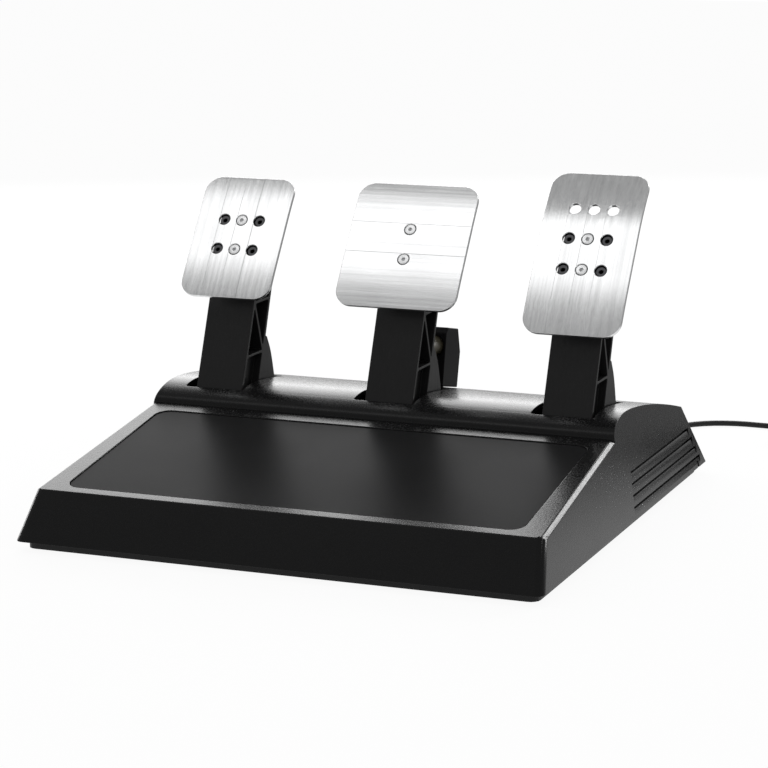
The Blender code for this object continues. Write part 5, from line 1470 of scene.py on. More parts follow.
@dataclass
class Pedal:
    """One pedal: its moulded arm, face plate, screws, inserts and return spring."""

    name: str
    x: float
    travel: float               # in degrees
    plate: FacePlate
    pivot_y: float = 0.007
    pivot_height: float = 0.031
    arm_width: float = 0.032
    arm_lean: float = math.radians(21)
    arm_front: float = 0.0141
    arm_rear: float = 0.0144
    arm_taper: float = 0.033
    arm_wall: float = 0.0028
    arm_web: float = 0.003
    rib: float = 0.0016
    rib_heights: tuple = (0.0875, 0.1210, 0.1390)
    lower_pocket_foot: float = 0.053
    lower_pocket_depth: float = 0.005
    hub_bore: float = 0.0058
    screw_along: float = 0.1245
    screw_forward: float = 0.0213
    plate_lean: float = PLATE_LEAN
    head_below: float = 0.012
    head_above: float = 0.009
    head_depth: float = 0.018
    screw_hole: float = 0.0025
    screw_hole_depth: float = 0.009
    screw_head: float = 0.0036
    socket: float = 0.00145
    fin_thickness: float = 0.0025
    fin_profile: tuple = ((0.0400, 0.0650), (0.0460, 0.0540), (0.0510, 0.0380), (0.0540, 0.0260),
                          (0.0556, 0.0150), (0.0540, 0.0100))
    lever_foot: float = 0.010
    seat_height: float = 0.0137
    seat_thickness: float = 0.003
    spring_back: float = 0.045
    spring_radius: float = 0.0075
    spring_wire: float = 0.0009
    spring_turns: float = 5.5
    spring_foot: float = 0.0134     # height of its lower end above the floor
    stub_radius: float = 0.0038
    flange_height: float = 0.0015
    bracket_top: float = 0.0113
    left_cheek: float = -0.0206
    right_cheek: float = 0.0163
    cheek: float = 0.0025

    @property
    def body(self) -> str:
        """CAD body of the moving pieces."""
        return f"{self.name}_pedal"

    def pivot(self) -> Matrix:
        """Frame at the pivot."""
        return Matrix.Translation((self.x, self.pivot_y, self.pivot_height))

    def arm_point(self, along: float, forward: float) -> Point:
        """Point of the arm's frame as (y, z) from the pivot."""
        return (along * math.sin(self.arm_lean) - forward * math.cos(self.arm_lean),
                along * math.cos(self.arm_lean) + forward * math.sin(self.arm_lean))

    def rear_forward(self, along: float) -> float:
        """Rear face of the arm, forward of the pivot's line, so below zero."""
        return -self.arm_rear + self.arm_taper * along

    def face_point(self, row: float, lift: float) -> Point:
        """Point on the plate's screw line as (y, z) from the pivot.

        Args:
            row: How far up from the lower screw, in metres.
            lift: How far out of the plate's front face.

        Returns:
            The point.
        """
        start = Vector(self.arm_point(self.screw_along, self.screw_forward))
        up = Vector((math.sin(self.plate_lean), math.cos(self.plate_lean)))
        out = Vector((-math.cos(self.plate_lean), math.sin(self.plate_lean)))
        return tuple(start + up * row + out * lift)

    def face_frame(self, x: float, row: float, lift: float) -> Matrix:
        """Frame with Z out of the plate and Y up along it, from the pivot."""
        y, z = self.face_point(row, lift)
        return Matrix.Translation((x, y, z)) @ Matrix.Rotation(math.pi / 2 - self.plate_lean, 4, "X")

    def wall_point(self, height: float, share: float) -> Point:
        """Point inside the arm's pocket walls at a height above the floor.

        Args:
            height: The height.
            share: 0 at the front wall and 1 at the rear one.

        Returns:
            The point as (y, z) from the pivot.
        """
        z = height - self.pivot_height
        forward = self.arm_front - self.arm_wall
        along = (z - forward * math.sin(self.arm_lean)) / math.cos(self.arm_lean)
        front = Vector(self.arm_point(along, forward))
        for _ in range(4):
            reach = self.rear_forward(along) + self.arm_wall
            along = (z - reach * math.sin(self.arm_lean)) / math.cos(self.arm_lean)
        rear = Vector(self.arm_point(along, self.rear_forward(along) + self.arm_wall))
        return tuple(front.lerp(rear, share))

    def arm_outline(self) -> Loop:
        """Side outline of the arm and its head, anticlockwise, from the hub.

        Returns:
            The outline as (y, z) from the pivot.
        """
        back = self.plate.thickness + SEAT_GAP
        row = self.plate.screw_row
        neck = self.screw_along - self.head_below - 0.008
        rear_top = self.screw_along + row * 0.6
        hub = arc((0, 0), self.arm_front, math.pi - self.arm_lean, math.tau - self.arm_lean, 28)
        return [*hub, self.arm_point(0.012, self.rear_forward(0.012)),
                self.arm_point(rear_top, self.rear_forward(rear_top)),
                self.face_point(row + self.head_above, -back - self.head_depth),
                self.face_point(row + self.head_above, -back), self.face_point(-self.head_below, -back),
                self.arm_point(neck, self.arm_front)]

    def bay(self, low: float, high: float, diagonal: bool) -> list[Loop]:
        """Pockets between two level ribs.

        Args:
            low: Height of the lower rib.
            high: Height of the upper rib.
            diagonal: Whether a rib crosses between them.

        Returns:
            Two triangles beside the diagonal rib, or one open field.
        """
        low, high = low + self.rib / 2, high - self.rib / 2
        front_low, rear_low = self.wall_point(low, 0), self.wall_point(low, 1)
        front_high, rear_high = self.wall_point(high, 0), self.wall_point(high, 1)
        if not diagonal:
            return [[front_low, rear_low, rear_high, front_high]]
        drop, span = self.rib * 1.9, self.rib * 0.45
        lower = [front_low, self.shifted(rear_low, front_low, span), self.shifted(front_high, front_low, drop)]
        upper = [self.shifted(rear_low, rear_high, drop), rear_high, self.shifted(front_high, rear_high, span)]
        return [lower, upper]

    @staticmethod
    def shifted(point: Point, towards: Point, distance: float) -> Point:
        """A point moved towards another by a distance."""
        start, end = Vector(point), Vector(towards)
        return tuple(start + (end - start).normalized() * distance)

    def pockets(self) -> list[Solid]:
        """Cutters of the side pockets on both sides.

        Returns:
            The cutters.
        """
        ribs = self.rib_heights
        shallow = self.arm_width / 2 - self.lower_pocket_depth
        fields = [(shape, self.arm_web / 2) for shape in self.bay(ribs[0], ribs[1], True)]
        fields += [(shape, self.arm_web / 2) for shape in self.bay(ribs[1], ribs[2], False)]
        fields += [(shape, shallow) for shape in self.bay(self.lower_pocket_foot, ribs[0], False)]
        cutters = []
        for shape, inner in fields:
            for side in (-1, 1):
                low, high = sorted((side * inner, side * (self.arm_width / 2 + 0.001)))
                cutters.append(Solid.prism([softened(shape, 0.0016)], low, high, Plane.SIDE))
        return cutters

    def fins(self) -> list[Solid]:
        """Two fins behind the arm, which carry the spring seat between them.

        Returns:
            The fins.
        """
        root_high = self.arm_point(0.075, self.rear_forward(0.075) + self.arm_wall / 2)
        root_low = self.arm_point(0.004, self.rear_forward(0.0) + 0.004)
        rear = [(self.fin_profile[-1][0] - 0.003, self.lever_foot), *reversed(self.fin_profile)]
        curve = [tuple(point.yz) for point in smooth_points([(0, *point) for point in rear], 0.002)]
        outline = [root_low, *curve, root_high]
        half, inner = self.arm_width / 2, self.arm_width / 2 - self.fin_thickness
        spans = ((-half, -inner), (inner, half))
        return [Solid.prism([outline], *span, Plane.SIDE) for span in spans]

    def build_arm(self) -> None:
        """Build the moulded arm: hub, ribbed stem, head, fins and spring seat."""
        half = self.arm_width / 2
        arm = Solid.prism([self.arm_outline()], -half, half, Plane.SIDE).joined(*self.pockets())
        arm = arm.joined(*self.fins(), how=Join.ADD)
        front = self.arm_point(0.012, self.rear_forward(0.012) + self.arm_wall)[0]
        inner = half - self.fin_thickness / 2
        arm = arm.joined(Solid.box((-inner, front, self.seat_height),
                                   (inner, self.spring_back + self.spring_radius,
                                    self.seat_height + self.seat_thickness)), how=Join.ADD)
        stub = Solid.rod(self.stub_radius, self.seat_height - 0.002,
                         self.seat_height + self.seat_thickness / 2, 32)
        arm = arm.joined(stub.moved(Matrix.Translation((0, self.spring_back, 0))), how=Join.ADD)
        holes = [Solid.rod(self.screw_hole, -self.screw_hole_depth, 0.003, 24).moved(place)
                 for place in self.hole_frames()]
        arm = arm.joined(Solid.rod(self.hub_bore, -half - 0.001, half + 0.001, 40).moved(across_x()), *holes)
        arm = arm.eased(0.00045, 2, 40).moved(self.pivot())
        arm.show(f"{self.name}_arm_moulding", self.body, ARM_PLASTIC, "arm_plastic", (f"{self.name}_arm",))

    def hole_frames(self) -> list[Matrix]:
        """Frames of the six screw holes in the head, from the pivot, with Z out of the mounting face.

        Returns:
            The frames, the lower row first.
        """
        back = -self.plate.thickness - SEAT_GAP
        return [self.face_frame(column * self.plate.screw_column, row * self.plate.screw_row, back)
                for row in (0, 1) for column in (-1, 0, 1)]

    def build_plate(self) -> None:
        """Build the face plate and its two socket screws."""
        plate = self.plate.solid().moved(self.pivot() @ self.face_frame(0, 0, 0))
        plate.show(f"{self.name}_tread_plate", self.body, self.plate.finish, "brushed_metal",
                   (f"{self.name}_face_plate",))
        top = self.plate.head_height
        length = self.plate.thickness - top + self.screw_hole_depth - 0.001
        for row, place in enumerate(("lower", "upper")):
            head = self.screw_head
            profile = [(0, top), (head - 0.0004, top), (head - 0.0001, top - 0.00012), (head, top - 0.0004),
                       (head, 0.0001), (head - 0.0001, 0), (self.plate.shank, 0), (self.plate.shank, -length),
                       (self.plate.shank - 0.0006, -length - 0.0006), (0, -length - 0.0006)]
            screw = Solid.turned(profile, 48)
            key = Solid.prism([circle((0, 0), self.socket, 6)], -0.0012, top + 0.001)
            screw = screw.joined(key).faced()
            frame = self.face_frame(0, row * self.plate.screw_row, -top)
            screw.moved(self.pivot() @ frame @ Matrix.Rotation(0.3 + row, 4, "Z")).show(
                f"{self.name}_plate_screw_{place}", self.body, SCREW_FACE, "screw_steel",
                (f"{self.name}_face_screw_{place}",))

    def build_inserts(self) -> None:
        """Build the threaded inserts in the head's four outer holes."""
        profile = [(0.0014, 0.0011), (0.0017, 0.0014), (0.0030, 0.0014), (0.0033, 0.0011), (0.0033, 0.0001),
                   (0.0024, 0.0001), (0.0024, -0.006), (0.0014, -0.006)]
        places = [self.pivot() @ frame for i, frame in enumerate(self.hole_frames()) if i % 3 != 1]
        inserts = Repeat(f"{self.name}_inserts", math.pi)
        inserts.show(Solid.turned(profile, 24, True), places, DARK_STEEL, "plated_steel", self.body)

    def build_spring(self) -> None:
        """Build the return spring as a fixed coil on the root body."""
        low = (self.bracket_top - self.pivot_height + SEAT_GAP + self.flange_height + SEAT_GAP
               + self.spring_wire)
        high = self.seat_height - SEAT_GAP - self.spring_wire
        steps = 28
        points = []
        for i in range(round(self.spring_turns * steps) + 1):
            turn = i / steps
            rise = min(max(turn - 0.5, 0), self.spring_turns - 1) / (self.spring_turns - 1)
            angle = math.tau * turn
            points.append(Vector((self.spring_radius * math.cos(angle),
                                  self.spring_back + self.spring_radius * math.sin(angle),
                                  low + (high - low) * rise)))
        spring = Solid.tube(points, self.spring_wire, 3).moved(self.pivot())
        piece = spring.show(f"{self.name}_spring_wire", "root", SPRING_WIRE, "spring_steel",
                            (f"{self.name}_return_spring",))
        anchor = Vector((self.x, self.pivot_y + self.spring_back, self.spring_foot))
        rise = self.pivot_height - anchor.z
        keep = (rise + self.pressed_seat() - SLIDE_GAP) / (rise + self.seat_height - SEAT_GAP)
        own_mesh(piece)

    def pressed_seat(self) -> float:
        """Height of the seat's underside above the pivot at the spring's rear, with the pedal fully pressed.

        Returns:
            The height.
        """
        sine, cosine = math.sin(math.radians(self.travel)), math.cos(math.radians(self.travel))
        back = self.spring_back + self.spring_radius + self.spring_wire
        along = (back - self.seat_height * sine) / cosine
        return self.seat_height * cosine - along * sine

    def slot(self, base: Base) -> tuple[Point, Point]:
        """Corners of the arm's slot in the roof.

        Args:
            base: The base that it is cut in.

        Returns:
            The corners as ((x, y), (x, y)).
        """
        inner_roof = base.roof_height(base.hood_y + base.crest_back / 2) - base.wall
        reach = ((self.pivot_height - inner_roof) * math.tan(self.arm_lean)
                 + self.arm_front / math.cos(self.arm_lean))
        front = self.pivot_y - reach - 2 * SLIDE_GAP
        radius = max(math.hypot(*point) for point in self.fin_profile[1:])
        roof = base.roof_height(self.pivot_y + radius) - self.pivot_height
        rear = self.pivot_y + math.sqrt(radius ** 2 - roof ** 2) + 2 * SLIDE_GAP
        return ((self.x + self.left_cheek - self.cheek + SEAT_GAP, front),
                (self.x + self.arm_width / 2 + 0.0015, rear))

    def bracket_screw_places(self) -> list[Matrix]:
        """Frames of the four screws in the bracket's floor.

        Returns:
            The frames.
        """
        inset, front = 0.006, 0.018
        return [Matrix.Translation((self.x + side, self.pivot_y + back, self.bracket_top))
                for side in (self.left_cheek + inset, self.right_cheek - inset)
                for back in (inset - front, self.spring_back - 0.022)]

    def build(self) -> None:
        """Build the pedal's pieces."""
        self.build_arm()
        self.build_plate()
        self.build_inserts()
        self.build_spring()


# ---- brake stop ----

@dataclass
class BrakeStop:
    """Block on the roof with a bore that holds a cone-shaped rubber bumper."""

    base: Base
    brake: Pedal
    width: float = 0.018
    front: float = 0.257
    depth: float = 0.029
    height: float = 0.0395
    chamfer_back: float = 0.006
    chamfer_down: float = 0.015
    front_cut: float = 0.004
    bore: float = 0.0076
    bore_depth: float = 0.007
    lift: float = 0.0265
    tip: float = 0.0034
    collar: float = 0.003
    screw: float = 0.0016
    screw_grip: float = 0.010

    def frame(self, back: float = 0.0, lift: float = 0.0) -> Matrix:
        """Frame on the roof at the block's front: Y along the roof to the rear, Z square to the roof.

        Args:
            back: How far along the roof.
            lift: How far out of it.

        Returns:
            The frame.
        """
        y = self.base.front_y + self.front
        angle = self.base.roof_angle(y + self.depth / 2)
        foot = Vector((self.brake.x, y, self.base.roof_height(y)))
        return Matrix.Translation(foot) @ Matrix.Rotation(angle, 4, "X") @ Matrix.Translation((0, back, lift))

    def screw_places(self) -> list[Matrix]:
        """Frames of the two screws that hold the block, with Z out of the roof."""
        return [self.frame(self.depth / 2 + side * 0.0075) for side in (-1, 1)]

    def tip_y(self, height: float) -> float:
        """Where the pressed brake arm's rear face stands at the bumper's upper edge.

        Args:
            height: Height of the bumper's middle.

        Returns:
            The place along Y.
        """
        lean = self.brake.arm_lean + math.radians(self.brake.travel)
        top = height + self.tip - self.brake.pivot_height
        along = top / math.cos(lean)
        for _ in range(4):
            along = (top - self.brake.rear_forward(along) * math.sin(lean)) / math.cos(lean)
        return (self.brake.pivot_y + along * math.sin(lean)
                - self.brake.rear_forward(along) * math.cos(lean) + 2 * SEAT_GAP)

    def build(self) -> None:
        """Build the block, its bumper and its screws."""
        outline = [(0, 2 * SEAT_GAP), (self.depth, 2 * SEAT_GAP),
                   (self.depth + 0.001, self.height - self.chamfer_down),
                   (self.depth - self.chamfer_back, self.height), (self.front_cut, self.height),
                   (0, self.height - self.front_cut)]
        block = Solid.prism([outline], -self.width / 2, self.width / 2, Plane.SIDE).moved(self.frame())
        centre = self.frame(0, self.lift).translation
        holes = [Solid.rod(self.screw + SEAT_GAP, -0.002, self.screw_grip + SLIDE_GAP, 16).moved(place)
                 for place in self.screw_places()]
        block = block.joined(Solid.rod(self.bore, -0.01, self.bore_depth, 48).moved(back_y(*centre)), *holes)
        block = block.eased(0.0007, 3, 40)
        block.show("stop_block", "root", BLOCK_PLASTIC, "arm_plastic", ("brake_stop_block",))
        seat = self.bore_depth - 3 * SEAT_GAP
        tip = centre.y - self.tip_y(centre.z)
        wide = self.bore - SEAT_GAP
        profile = [(0, -tip), (self.tip * 0.6, -tip), (self.tip * 0.85, -tip + 0.0004),
                   (self.tip, -tip + 0.0015), (wide - 0.0006, seat - self.collar - 0.0008),
                   (wide, seat - self.collar), (wide, seat - 0.0003), (wide - 0.0003, seat), (0, seat)]
        Solid.turned(profile, 48).moved(back_y(*centre)).show("stop_bumper", "root", BUMPER_RUBBER, "rubber",
                                                               ("brake_stop_bumper",))
        below = -self.base.wall - 0.0006
        head = [(0, below - 0.0018), (0.0022, below - 0.0018), (0.0030, below - 0.0011), (0.0030, below),
                (self.screw, below), (self.screw, self.screw_grip - 0.0005), (0, self.screw_grip)]
        Repeat("stop_screws").show(Solid.turned(head, 20), self.screw_places(), ZINC, "screw_steel")


# ---- leads ----

@dataclass
class MainLead:
    """The lead outside the base: relief, free stretch, stored coil, tie and plug."""

    base: Base
    diameter: float = 0.004
    exit_x: float = 0.092
    exit_height: float = 0.021
    exit_hole: float = 0.0053
    relief_collar: float = 0.0075
    relief_collar_thickness: float = 0.0025
    relief_body: float = 0.0050
    relief_tip: float = 0.0034
    relief_length: float = 0.024
    floor_rest: float = 0.0021
    coil_rest: float = 0.0030
    coil_centre: Point = (0.2215, 0.2920)
    coil_radius: float = 0.0220
    coil_layers: int = 4
    coil_turns: float = 11.25
    coil_points_per_turn: int = 24
    coil_pitch: float = 0.00448
    plug: Colour = (0.0097, 0.0150, 0.0066)
    plug_y: float = 0.218
    boot: float = 0.005
    boot_radius: float = 0.0032
    tie_thickness: float = 0.0007
    tie_width: float = 0.004
    tie_angle: float = math.radians(250)

    def exit_place(self) -> Vector:
        """Where the lead leaves the rear wall."""
        return Vector((self.exit_x, self.base.rear_face_y(self.exit_height), self.exit_height))

    def relief_ends(self) -> tuple[float, float]:
        """Inner and outer end of the relief, along Y.

        Returns:
            Both places.
        """
        wall = (self.base.rear_face_y(self.exit_height + self.relief_collar)
                - self.base.wall * self.base.rear_lean())
        return (wall - SEAT_GAP - self.relief_collar_thickness,
                self.base.rear_face_y(self.exit_height) + self.relief_length)

    def coil_place(self, turn: float) -> tuple[float, float]:
        """Find a place along the coil, whose layers spiral in and out by turns.

        Args:
            turn: Turns from the coil's start.

        Returns:
            The radius and the height.
        """
        spiral = (self.coil_turns - (self.coil_layers - 1) / 2) / self.coil_layers
        layer = min(int((turn + 0.25) / (spiral + 0.5)), self.coil_layers - 1)
        within = turn - layer * (spiral + 0.5)
        outward = -1 if layer % 2 == 0 else 1
        radius = self.coil_radius + outward * self.coil_pitch * (within - spiral / 2)
        climb = 2 * min(within, 0) + 2 * max(within - spiral, 0)
        return radius, self.coil_rest + self.coil_pitch * (layer + climb)

    def coil(self) -> list[Vector]:
        """The coil's loops, clockwise from above.

        Returns:
            The points.
        """
        count = round(self.coil_turns * self.coil_points_per_turn)
        points = []
        for i in range(count + 1):
            turn = self.coil_turns * i / count
            radius, z = self.coil_place(turn)
            angle = math.pi / 2 - math.tau * turn
            points.append(Vector((self.coil_centre[0] + radius * math.cos(angle),
                                  self.coil_centre[1] + radius * math.sin(angle), z)))
        return points

    def stretch(self) -> list[Vector]:
        """The lead from inside the relief, down to the floor and to the coil.

        Returns:
            The points.
        """
        outer = self.relief_ends()[1]
        end_y = self.coil_centre[1] + self.coil_place(0)[0]
        x, up, z = self.exit_x, self.exit_height, self.floor_rest
        route = [tuple(self.exit_place()), (x, outer - 0.010, up), (x, outer, up),
                 (x, outer + 0.012, up - 0.001), (x + 0.001, outer + 0.034, 0.0085),
                 (x + 0.006, outer + 0.056, z), (0.112, 0.290, z), (0.1285, 0.3105, z), (0.150, 0.3192, z),
                 (0.175, end_y, z), (self.coil_centre[0] - 0.012, end_y, self.coil_rest - 0.0002),
                 (self.coil_centre[0] - SEAT_GAP, end_y, self.coil_rest)]
        points = smooth_points(route, 0.009)
        for point in points:
            point.z = max(point.z, z)
        return points

    def tail(self) -> list[Vector]:
        """The lead from the coil's upper end down to the plug beside the coil.

        Returns:
            The points.
        """
        radius, top = self.coil_place(self.coil_turns)
        x, y, z = self.coil_centre[0] + radius, self.coil_centre[1], self.plug[2] / 2
        route = [(x, y - SEAT_GAP, top), (x, y - 0.012, top - 0.0004), (x, y - 0.034, z + 0.004),
                 (x, y - 0.046, z), (x, self.plug_y + self.plug[1] + self.boot + SEAT_GAP, z)]
        return smooth_points(route, 0.009)

    def build_lead(self, carried: list[bpy.types.Object]) -> None:
        """Build the lead itself as one curve.

        Args:
            carried: The pieces on it; not used.
        """
        points = self.stretch()[:-1] + self.coil() + self.tail()[1:]
        lead = wire_object("main_lead", points, self.diameter / 2, 5)
        lead.data.materials.append(dress(LEAD_JACKET))
        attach(lead, "root")
        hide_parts("cord_stretch", "cord_coil", "cord_tail")
        length = sum((b - a).length for a, b in zip(points, points[1:]))
        LOG.info("main_lead: %.3f m", length)

    def build_relief(self) -> bpy.types.Object:
        """Build the tapered relief with its ribs.

        Returns:
            The piece.
        """
        inner, outer = self.relief_ends()
        start = self.base.rear_face_y(self.exit_height - self.relief_body) + 0.002
        bore = self.diameter / 2 + 0.0001
        collar = inner + self.relief_collar_thickness
        profile = [(bore, inner), (self.relief_collar - 0.0003, inner), (self.relief_collar, inner + 0.0003),
                   (self.relief_collar, collar - 0.0003), (self.relief_collar - 0.0003, collar),
                   (self.relief_body, collar), (self.relief_body, start)]
        ribs = 5
        pitch = (outer - start - 0.003) / ribs
        for i in range(ribs):
            y = start + pitch * i
            wide = self.relief_body + (self.relief_tip - self.relief_body) * i / ribs
            thin = wide - 0.0010
            profile += [(wide, y + pitch * 0.45), (wide - 0.0002, y + pitch * 0.55), (thin, y + pitch * 0.60),
                        (thin, y + pitch * 0.90), (wide - 0.0004, y + pitch)]
        profile += [(self.relief_tip, outer - 0.0028), (self.relief_tip, outer - 0.0004),
                    (self.relief_tip - 0.0004, outer), (bore, outer)]
        relief = Solid.turned(profile, 36, True).moved(back_y(self.exit_x, 0, self.exit_height))
        return relief.show("lead_relief", "root", RUBBER, "rubber", ("strain_relief",))

    def build_plug(self) -> bpy.types.Object:
        """Build the modular plug with its latch, contact slots and boot.

        Returns:
            The piece.
        """
        x, z = self.coil_centre[0] + self.coil_place(self.coil_turns)[0], self.plug[2] / 2
        front, back = self.plug_y, self.plug_y + self.plug[1]
        body = Solid.box((x - self.plug[0] / 2, front, 0), (x + self.plug[0] / 2, back, self.plug[2]))
        slots = [Solid.box((x + (i - 2.5) * 0.00127 - 0.0003, front - 0.001, self.plug[2] - 0.0012),
                           (x + (i - 2.5) * 0.00127 + 0.0003, front + 0.0045, self.plug[2] + 0.001))
                 for i in range(6)]
        latch = [(front + 0.0047, self.plug[2] - 0.0005), (front + 0.0060, self.plug[2] - 0.0005),
                 (front + 0.012, self.plug[2] + 0.0022), (front + 0.012, self.plug[2] + 0.0032),
                 (front + 0.0050, self.plug[2] + 0.0008)]
        body = body.joined(*slots)
        body = body.joined(Solid.prism([latch], x - 0.003, x + 0.003, Plane.SIDE), how=Join.ADD)
        boot = Solid.rod(self.boot_radius, -0.001, self.boot, 24).moved(back_y(x, back, z))
        body = body.joined(boot, how=Join.ADD).eased(0.00018, 2, 40)
        return body.show("lead_plug", "root", CLEAR, "plug_plastic", ("cord_plug",))

    def build_tie(self) -> bpy.types.Object:
        """Build the band round the coil's bundle.

        Returns:
            The piece.
        """
        centre = Vector((*self.coil_centre, 0))
        direction = Vector((math.cos(self.tie_angle), math.sin(self.tie_angle), 0))
        side = Vector((-direction.y, direction.x, 0))
        held = [point - centre for point in self.coil()
                if abs((point - centre).dot(side)) < 1.6 * self.tie_width
                and (point - centre).dot(direction) > 0]
        reach = [point.dot(direction) for point in held]
        inner, thick = self.diameter / 2 + SLIDE_GAP, self.tie_thickness
        low = (min(reach) - inner, thick)
        high = (max(reach) + inner, max(point.z for point in held) + inner)
        loops = [rounded_rectangle((low[0] - thick, 0), (high[0] + thick, high[1] + thick), 0.0025),
                 rounded_rectangle(low, high, 0.0025 - thick)]
        stand = Matrix(((direction.x, 0, direction.y, centre.x), (direction.y, 0, -direction.x, centre.y),
                        (0, 1, 0, 0), (0, 0, 0, 1)))
        band = Solid.prism(loops, -self.tie_width / 2, self.tie_width / 2).eased(0.00015, 2, 40).moved(stand)
        return band.show("lead_tie", "root", LEAD_JACKET, "lead_plastic", ("cord_tie",))

    def build(self) -> None:
        """Build the lead and what is on it."""
        self.build_lead([self.build_relief(), self.build_tie(), self.build_plug()])


# ---- mechanism that keeps its CAD shape ----

@dataclass
class Mechanism:
    """Pieces inside the base whose CAD nodes stay, with better finishes, and their small screws."""

    base: Base
    pedals: list[Pedal]
    board: Colour = (0.052, 0.034, 0.0016)
    board_centre: Point = (0.062, 0.292)
    board_floor: float = 0.0085     # top of the base plate
    board_lift: float = 0.006
    hole_inset: float = 0.0045
    finishes: dict = field(default_factory=lambda: {
        "bracket": ZINC, "pivot_pin": ZINC, "pin_clip": SPRING_WIRE, "spring_guide": ARM_PLASTIC,
        "sensor": SENSOR_CASE, "sensor_lead": LEAD_JACKET, "hub_bush": BRONZE, "sensor_sector": ACETAL,
        "sensor_pinion": ACETAL})

    def dress_node(self, name: str, finish: Finish) -> None:
        """Give a CAD node a finish."""
        for slot in frame["nodes"][name].material_slots:
            slot.material = dress(finish)

    def dress_nodes(self) -> None:
        """Finish every CAD node that stays."""
        for pedal in self.pedals:
            for piece, finish in self.finishes.items():
                self.dress_node(f"{pedal.name}_{piece}", finish)
        self.dress_node("base_plate", FLOOR_PAINT)
        self.dress_node("circuit_board", LAMINATE)
        self.dress_node("inner_lead", LEAD_JACKET)

    def pan_screw(self, radius: float, head: float, length: float) -> Solid:
        """Pan-headed screw that points down from Z = 0.

        Args:
            radius: Of its thread.
            head: Of its head.
            length: Below its head.

        Returns:
            The screw.
        """
        profile = [(0, 0.0014), (head * 0.6, 0.0013), (head * 0.9, 0.0009), (head, 0.0004), (head, 0.0001),
                   (radius, 0.0001), (radius, -length), (0, -length - 0.0006)]
        recess = Solid.box((-head * 0.6, -0.00025, 0.0008), (head * 0.6, 0.00025, 0.002))
        return Solid.turned(profile, 20).joined(recess)

    def build_screws(self) -> None:
        """Build the bracket and board screws."""
        places = [place for pedal in self.pedals for place in pedal.bracket_screw_places()]
        screw = self.pan_screw(0.0015, 0.0028, 0.0040)
        Repeat("bracket_screws", math.pi).show(screw, places, ZINC, "screw_steel")
        top = self.board_floor + self.board_lift + self.board[2]
        middle = (self.board_centre[0], self.base.front_y + self.board_centre[1])
        corners = [Matrix.Translation((middle[0] + sx * (self.board[0] / 2 - self.hole_inset),
                                       middle[1] + sy * (self.board[1] / 2 - self.hole_inset), top))
                   for sx in (-1, 1) for sy in (-1, 1)]
        screw = self.pan_screw(0.0010, 0.0022, 0.0040)
        Repeat("board_screws", math.pi, 5).show(screw, corners, ZINC, "screw_steel")

    def build(self) -> None:
        """Finish the nodes and build the screws."""
        self.dress_nodes()
        self.build_screws()


# ---- studio ----

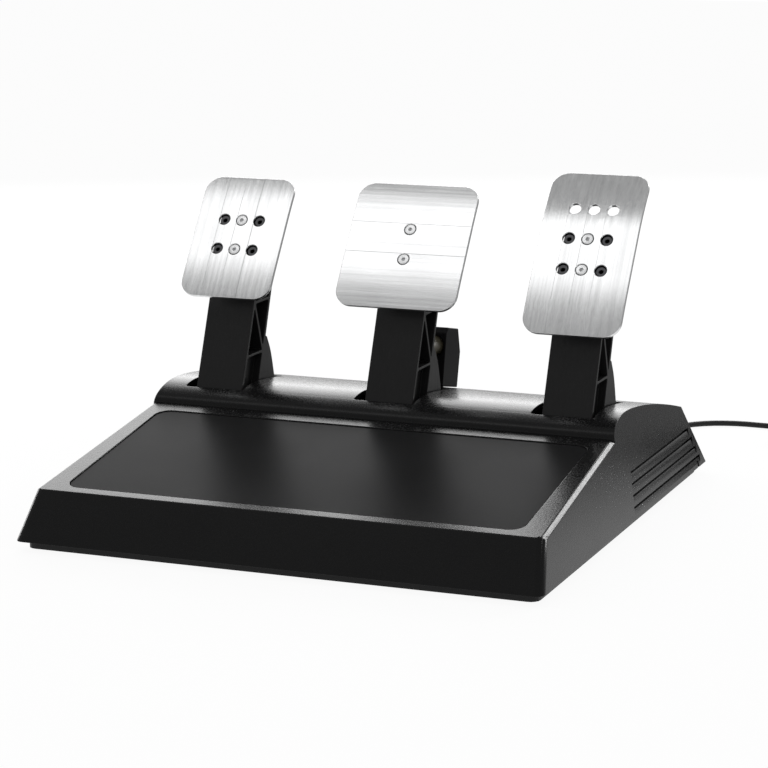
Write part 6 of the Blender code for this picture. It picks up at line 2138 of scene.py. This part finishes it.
@dataclass
class Studio:
    """Floor, lamps, surroundings and camera."""

    target: tuple = (0.0, 0.0048, 0.07925)
    towards: tuple = (0.359, -0.912, 0.198)
    distance: float = 1.6286
    lens: float = 121.5
    floor_colour: tuple = (0.96, 0.96, 0.96, 1.0)
    floor_glow: float = 0.93    # share of the floor that is plain white to the eye and in gloss
    fade: float = 0.8           # loss of the floor's glow in gloss, far behind the object
    fade_start: float = 0.02
    fade_length: float = 0.45
    room_strength: float = 0.62
    front_gloss: Colour = (0.36, 0.36, 0.36)

    def build_camera(self) -> None:
        """Set the camera at the photograph's angle."""
        data = bpy.data.cameras.new("camera")
        data.sensor_width = 36.0
        data.lens = self.lens
        data.clip_start, data.clip_end = 0.05, 30.0
        camera = linked("camera", data)
        direction = Vector(self.towards).normalized()
        camera.location = Vector(self.target) + direction * self.distance
        camera.rotation_euler = (-direction).to_track_quat("-Z", "Y").to_euler()
        bpy.context.scene.camera = camera

    def build_floor(self) -> None:
        """Lay the pale floor."""
        bm = bmesh.new()
        bmesh.ops.create_grid(bm, x_segments=1, y_segments=1, size=6.0)
        floor = Solid(bm).moved(Matrix.Translation((0, 0, -0.0002))).as_object("studio_floor")
        shader = Shader.material("studio_floor")
        eye, gloss, through = shader.rays("Camera", "Glossy", "Transmission")
        seen = shader.math("MAXIMUM", shader.math("MAXIMUM", eye, gloss), through)
        matt = shader.wire("ShaderNodeBsdfDiffuse", values={"Color": self.floor_colour})
        far = (shader.part(shader.place(), "Y") - self.fade_start) / self.fade_length
        far = shader.math("MINIMUM", shader.math("MAXIMUM", far, 0.0), 1.0)
        pale = 1.0 - far * gloss * self.fade
        glow = shader.wire("ShaderNodeEmission", values={"Color": pale, "Strength": 1.0})
        mixed = shader.wire("ShaderNodeMixShader", values={0: seen * self.floor_glow, 1: matt, 2: glow})
        shader.node("ShaderNodeOutputMaterial", values={"Surface": mixed})
        floor.data.materials.append(shader.block)

    def build_surroundings(self) -> None:
        """Light the room: white for the eye, and for gloss white behind and darker in front."""
        world = bpy.data.worlds.new("studio")
        bpy.context.scene.world = world
        shader = Shader(world)
        eye, gloss = shader.rays("Camera", "Glossy")
        back = shader.part(shader.wire("ShaderNodeTexCoord", output="Generated"), "Y")
        stops = ((0.55, self.front_gloss), (0.84, WHITE[:3]))
        ramp = shader.wire("ShaderNodeValToRGB", {"stops": stops}, {0: back})
        room, mirrored, backdrop = [
            shader.wire("ShaderNodeBackground", values={"Color": colour, "Strength": strength})
            for colour, strength in ((WHITE, self.room_strength), (ramp, 1.0), (WHITE, 1.0))]
        mixed = shader.wire("ShaderNodeMixShader", values={0: gloss, 1: room, 2: mirrored})
        mixed = shader.wire("ShaderNodeMixShader", values={0: eye, 1: mixed, 2: backdrop})
        shader.node("ShaderNodeOutputWorld", values={"Surface": mixed})

    def build_lamp(self, name: str, place: tuple, size: tuple, power: float,
                   aim: tuple = (0, 0, 0.08)) -> None:
        """Hang one soft lamp.

        Args:
            name: Name of the lamp.
            place: Its middle.
            size: Its width and height.
            power: In watts.
            aim: The point that it faces.
        """
        lamp = bpy.data.lights.new(name, "AREA")
        lamp.shape = "RECTANGLE"
        lamp.size, lamp.size_y = size
        lamp.energy = power
        obj = linked(name, lamp)
        obj.location = place
        obj.rotation_euler = (Vector(aim) - Vector(place)).to_track_quat("-Z", "Y").to_euler()

    def build(self) -> None:
        """Set up the studio."""
        bpy.context.scene.view_settings.view_transform = "Standard"
        self.build_camera()
        self.build_floor()
        self.build_surroundings()
        self.build_lamp("key_softbox", (-0.56, -0.65, 1.51), (0.95, 0.36), 1.27, (-0.56, 0.05, 0.0))
        self.build_lamp("rear_softbox", (-0.65, 1.3, 0.72), (1.6, 1.0), 16.5)
        self.build_lamp("left_strip", (-1.35, 0.62, 0.30), (0.45, 0.5), 3.0)
        self.build_lamp("right_softbox", (0.67, 1.15, 0.74), (0.35, 0.3), 5.0)


def main() -> None:
    """Build the scene in order."""
    logging.basicConfig(level=logging.INFO, format="%(name)s %(message)s")
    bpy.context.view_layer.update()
    Studio().build()
    base = Base()
    lead = MainLead(base)
    lead.build()
    short_plate = FacePlate(width=0.0632, below=0.0342, above=0.0318, rows=2, columns=3, bend=0.30,
                            finish=LONG_BRUSHED, lines_up=True)
    wide_plate = FacePlate(width=0.0814, below=0.0340, above=0.0328, rows=2, columns=1, bend=0.30,
                           finish=CROSS_BRUSHED, lines_up=False)
    long_plate = FacePlate(width=0.0632, below=0.0440, above=0.0490, rows=3, columns=3, bend=0.18,
                           finish=LONG_BRUSHED, lines_up=True)
    pedals = [Pedal("clutch", -0.1149, 20, short_plate), Pedal("brake", 0.0025, 12, wide_plate),
              Pedal("throttle", 0.1199, 20, long_plate)]
    stop = BrakeStop(base, pedals[1])
    base.build_shell([pedal.slot(base) for pedal in pedals], lead.exit_place(), lead.exit_hole,
                     stop.screw_places())
    base.build_pad()
    base.build_feet()
    base.build_screws()
    for pedal in pedals:
        pedal.build()
    stop.build()
    Mechanism(base, pedals).build()


if __name__ == "__main__":
    main()
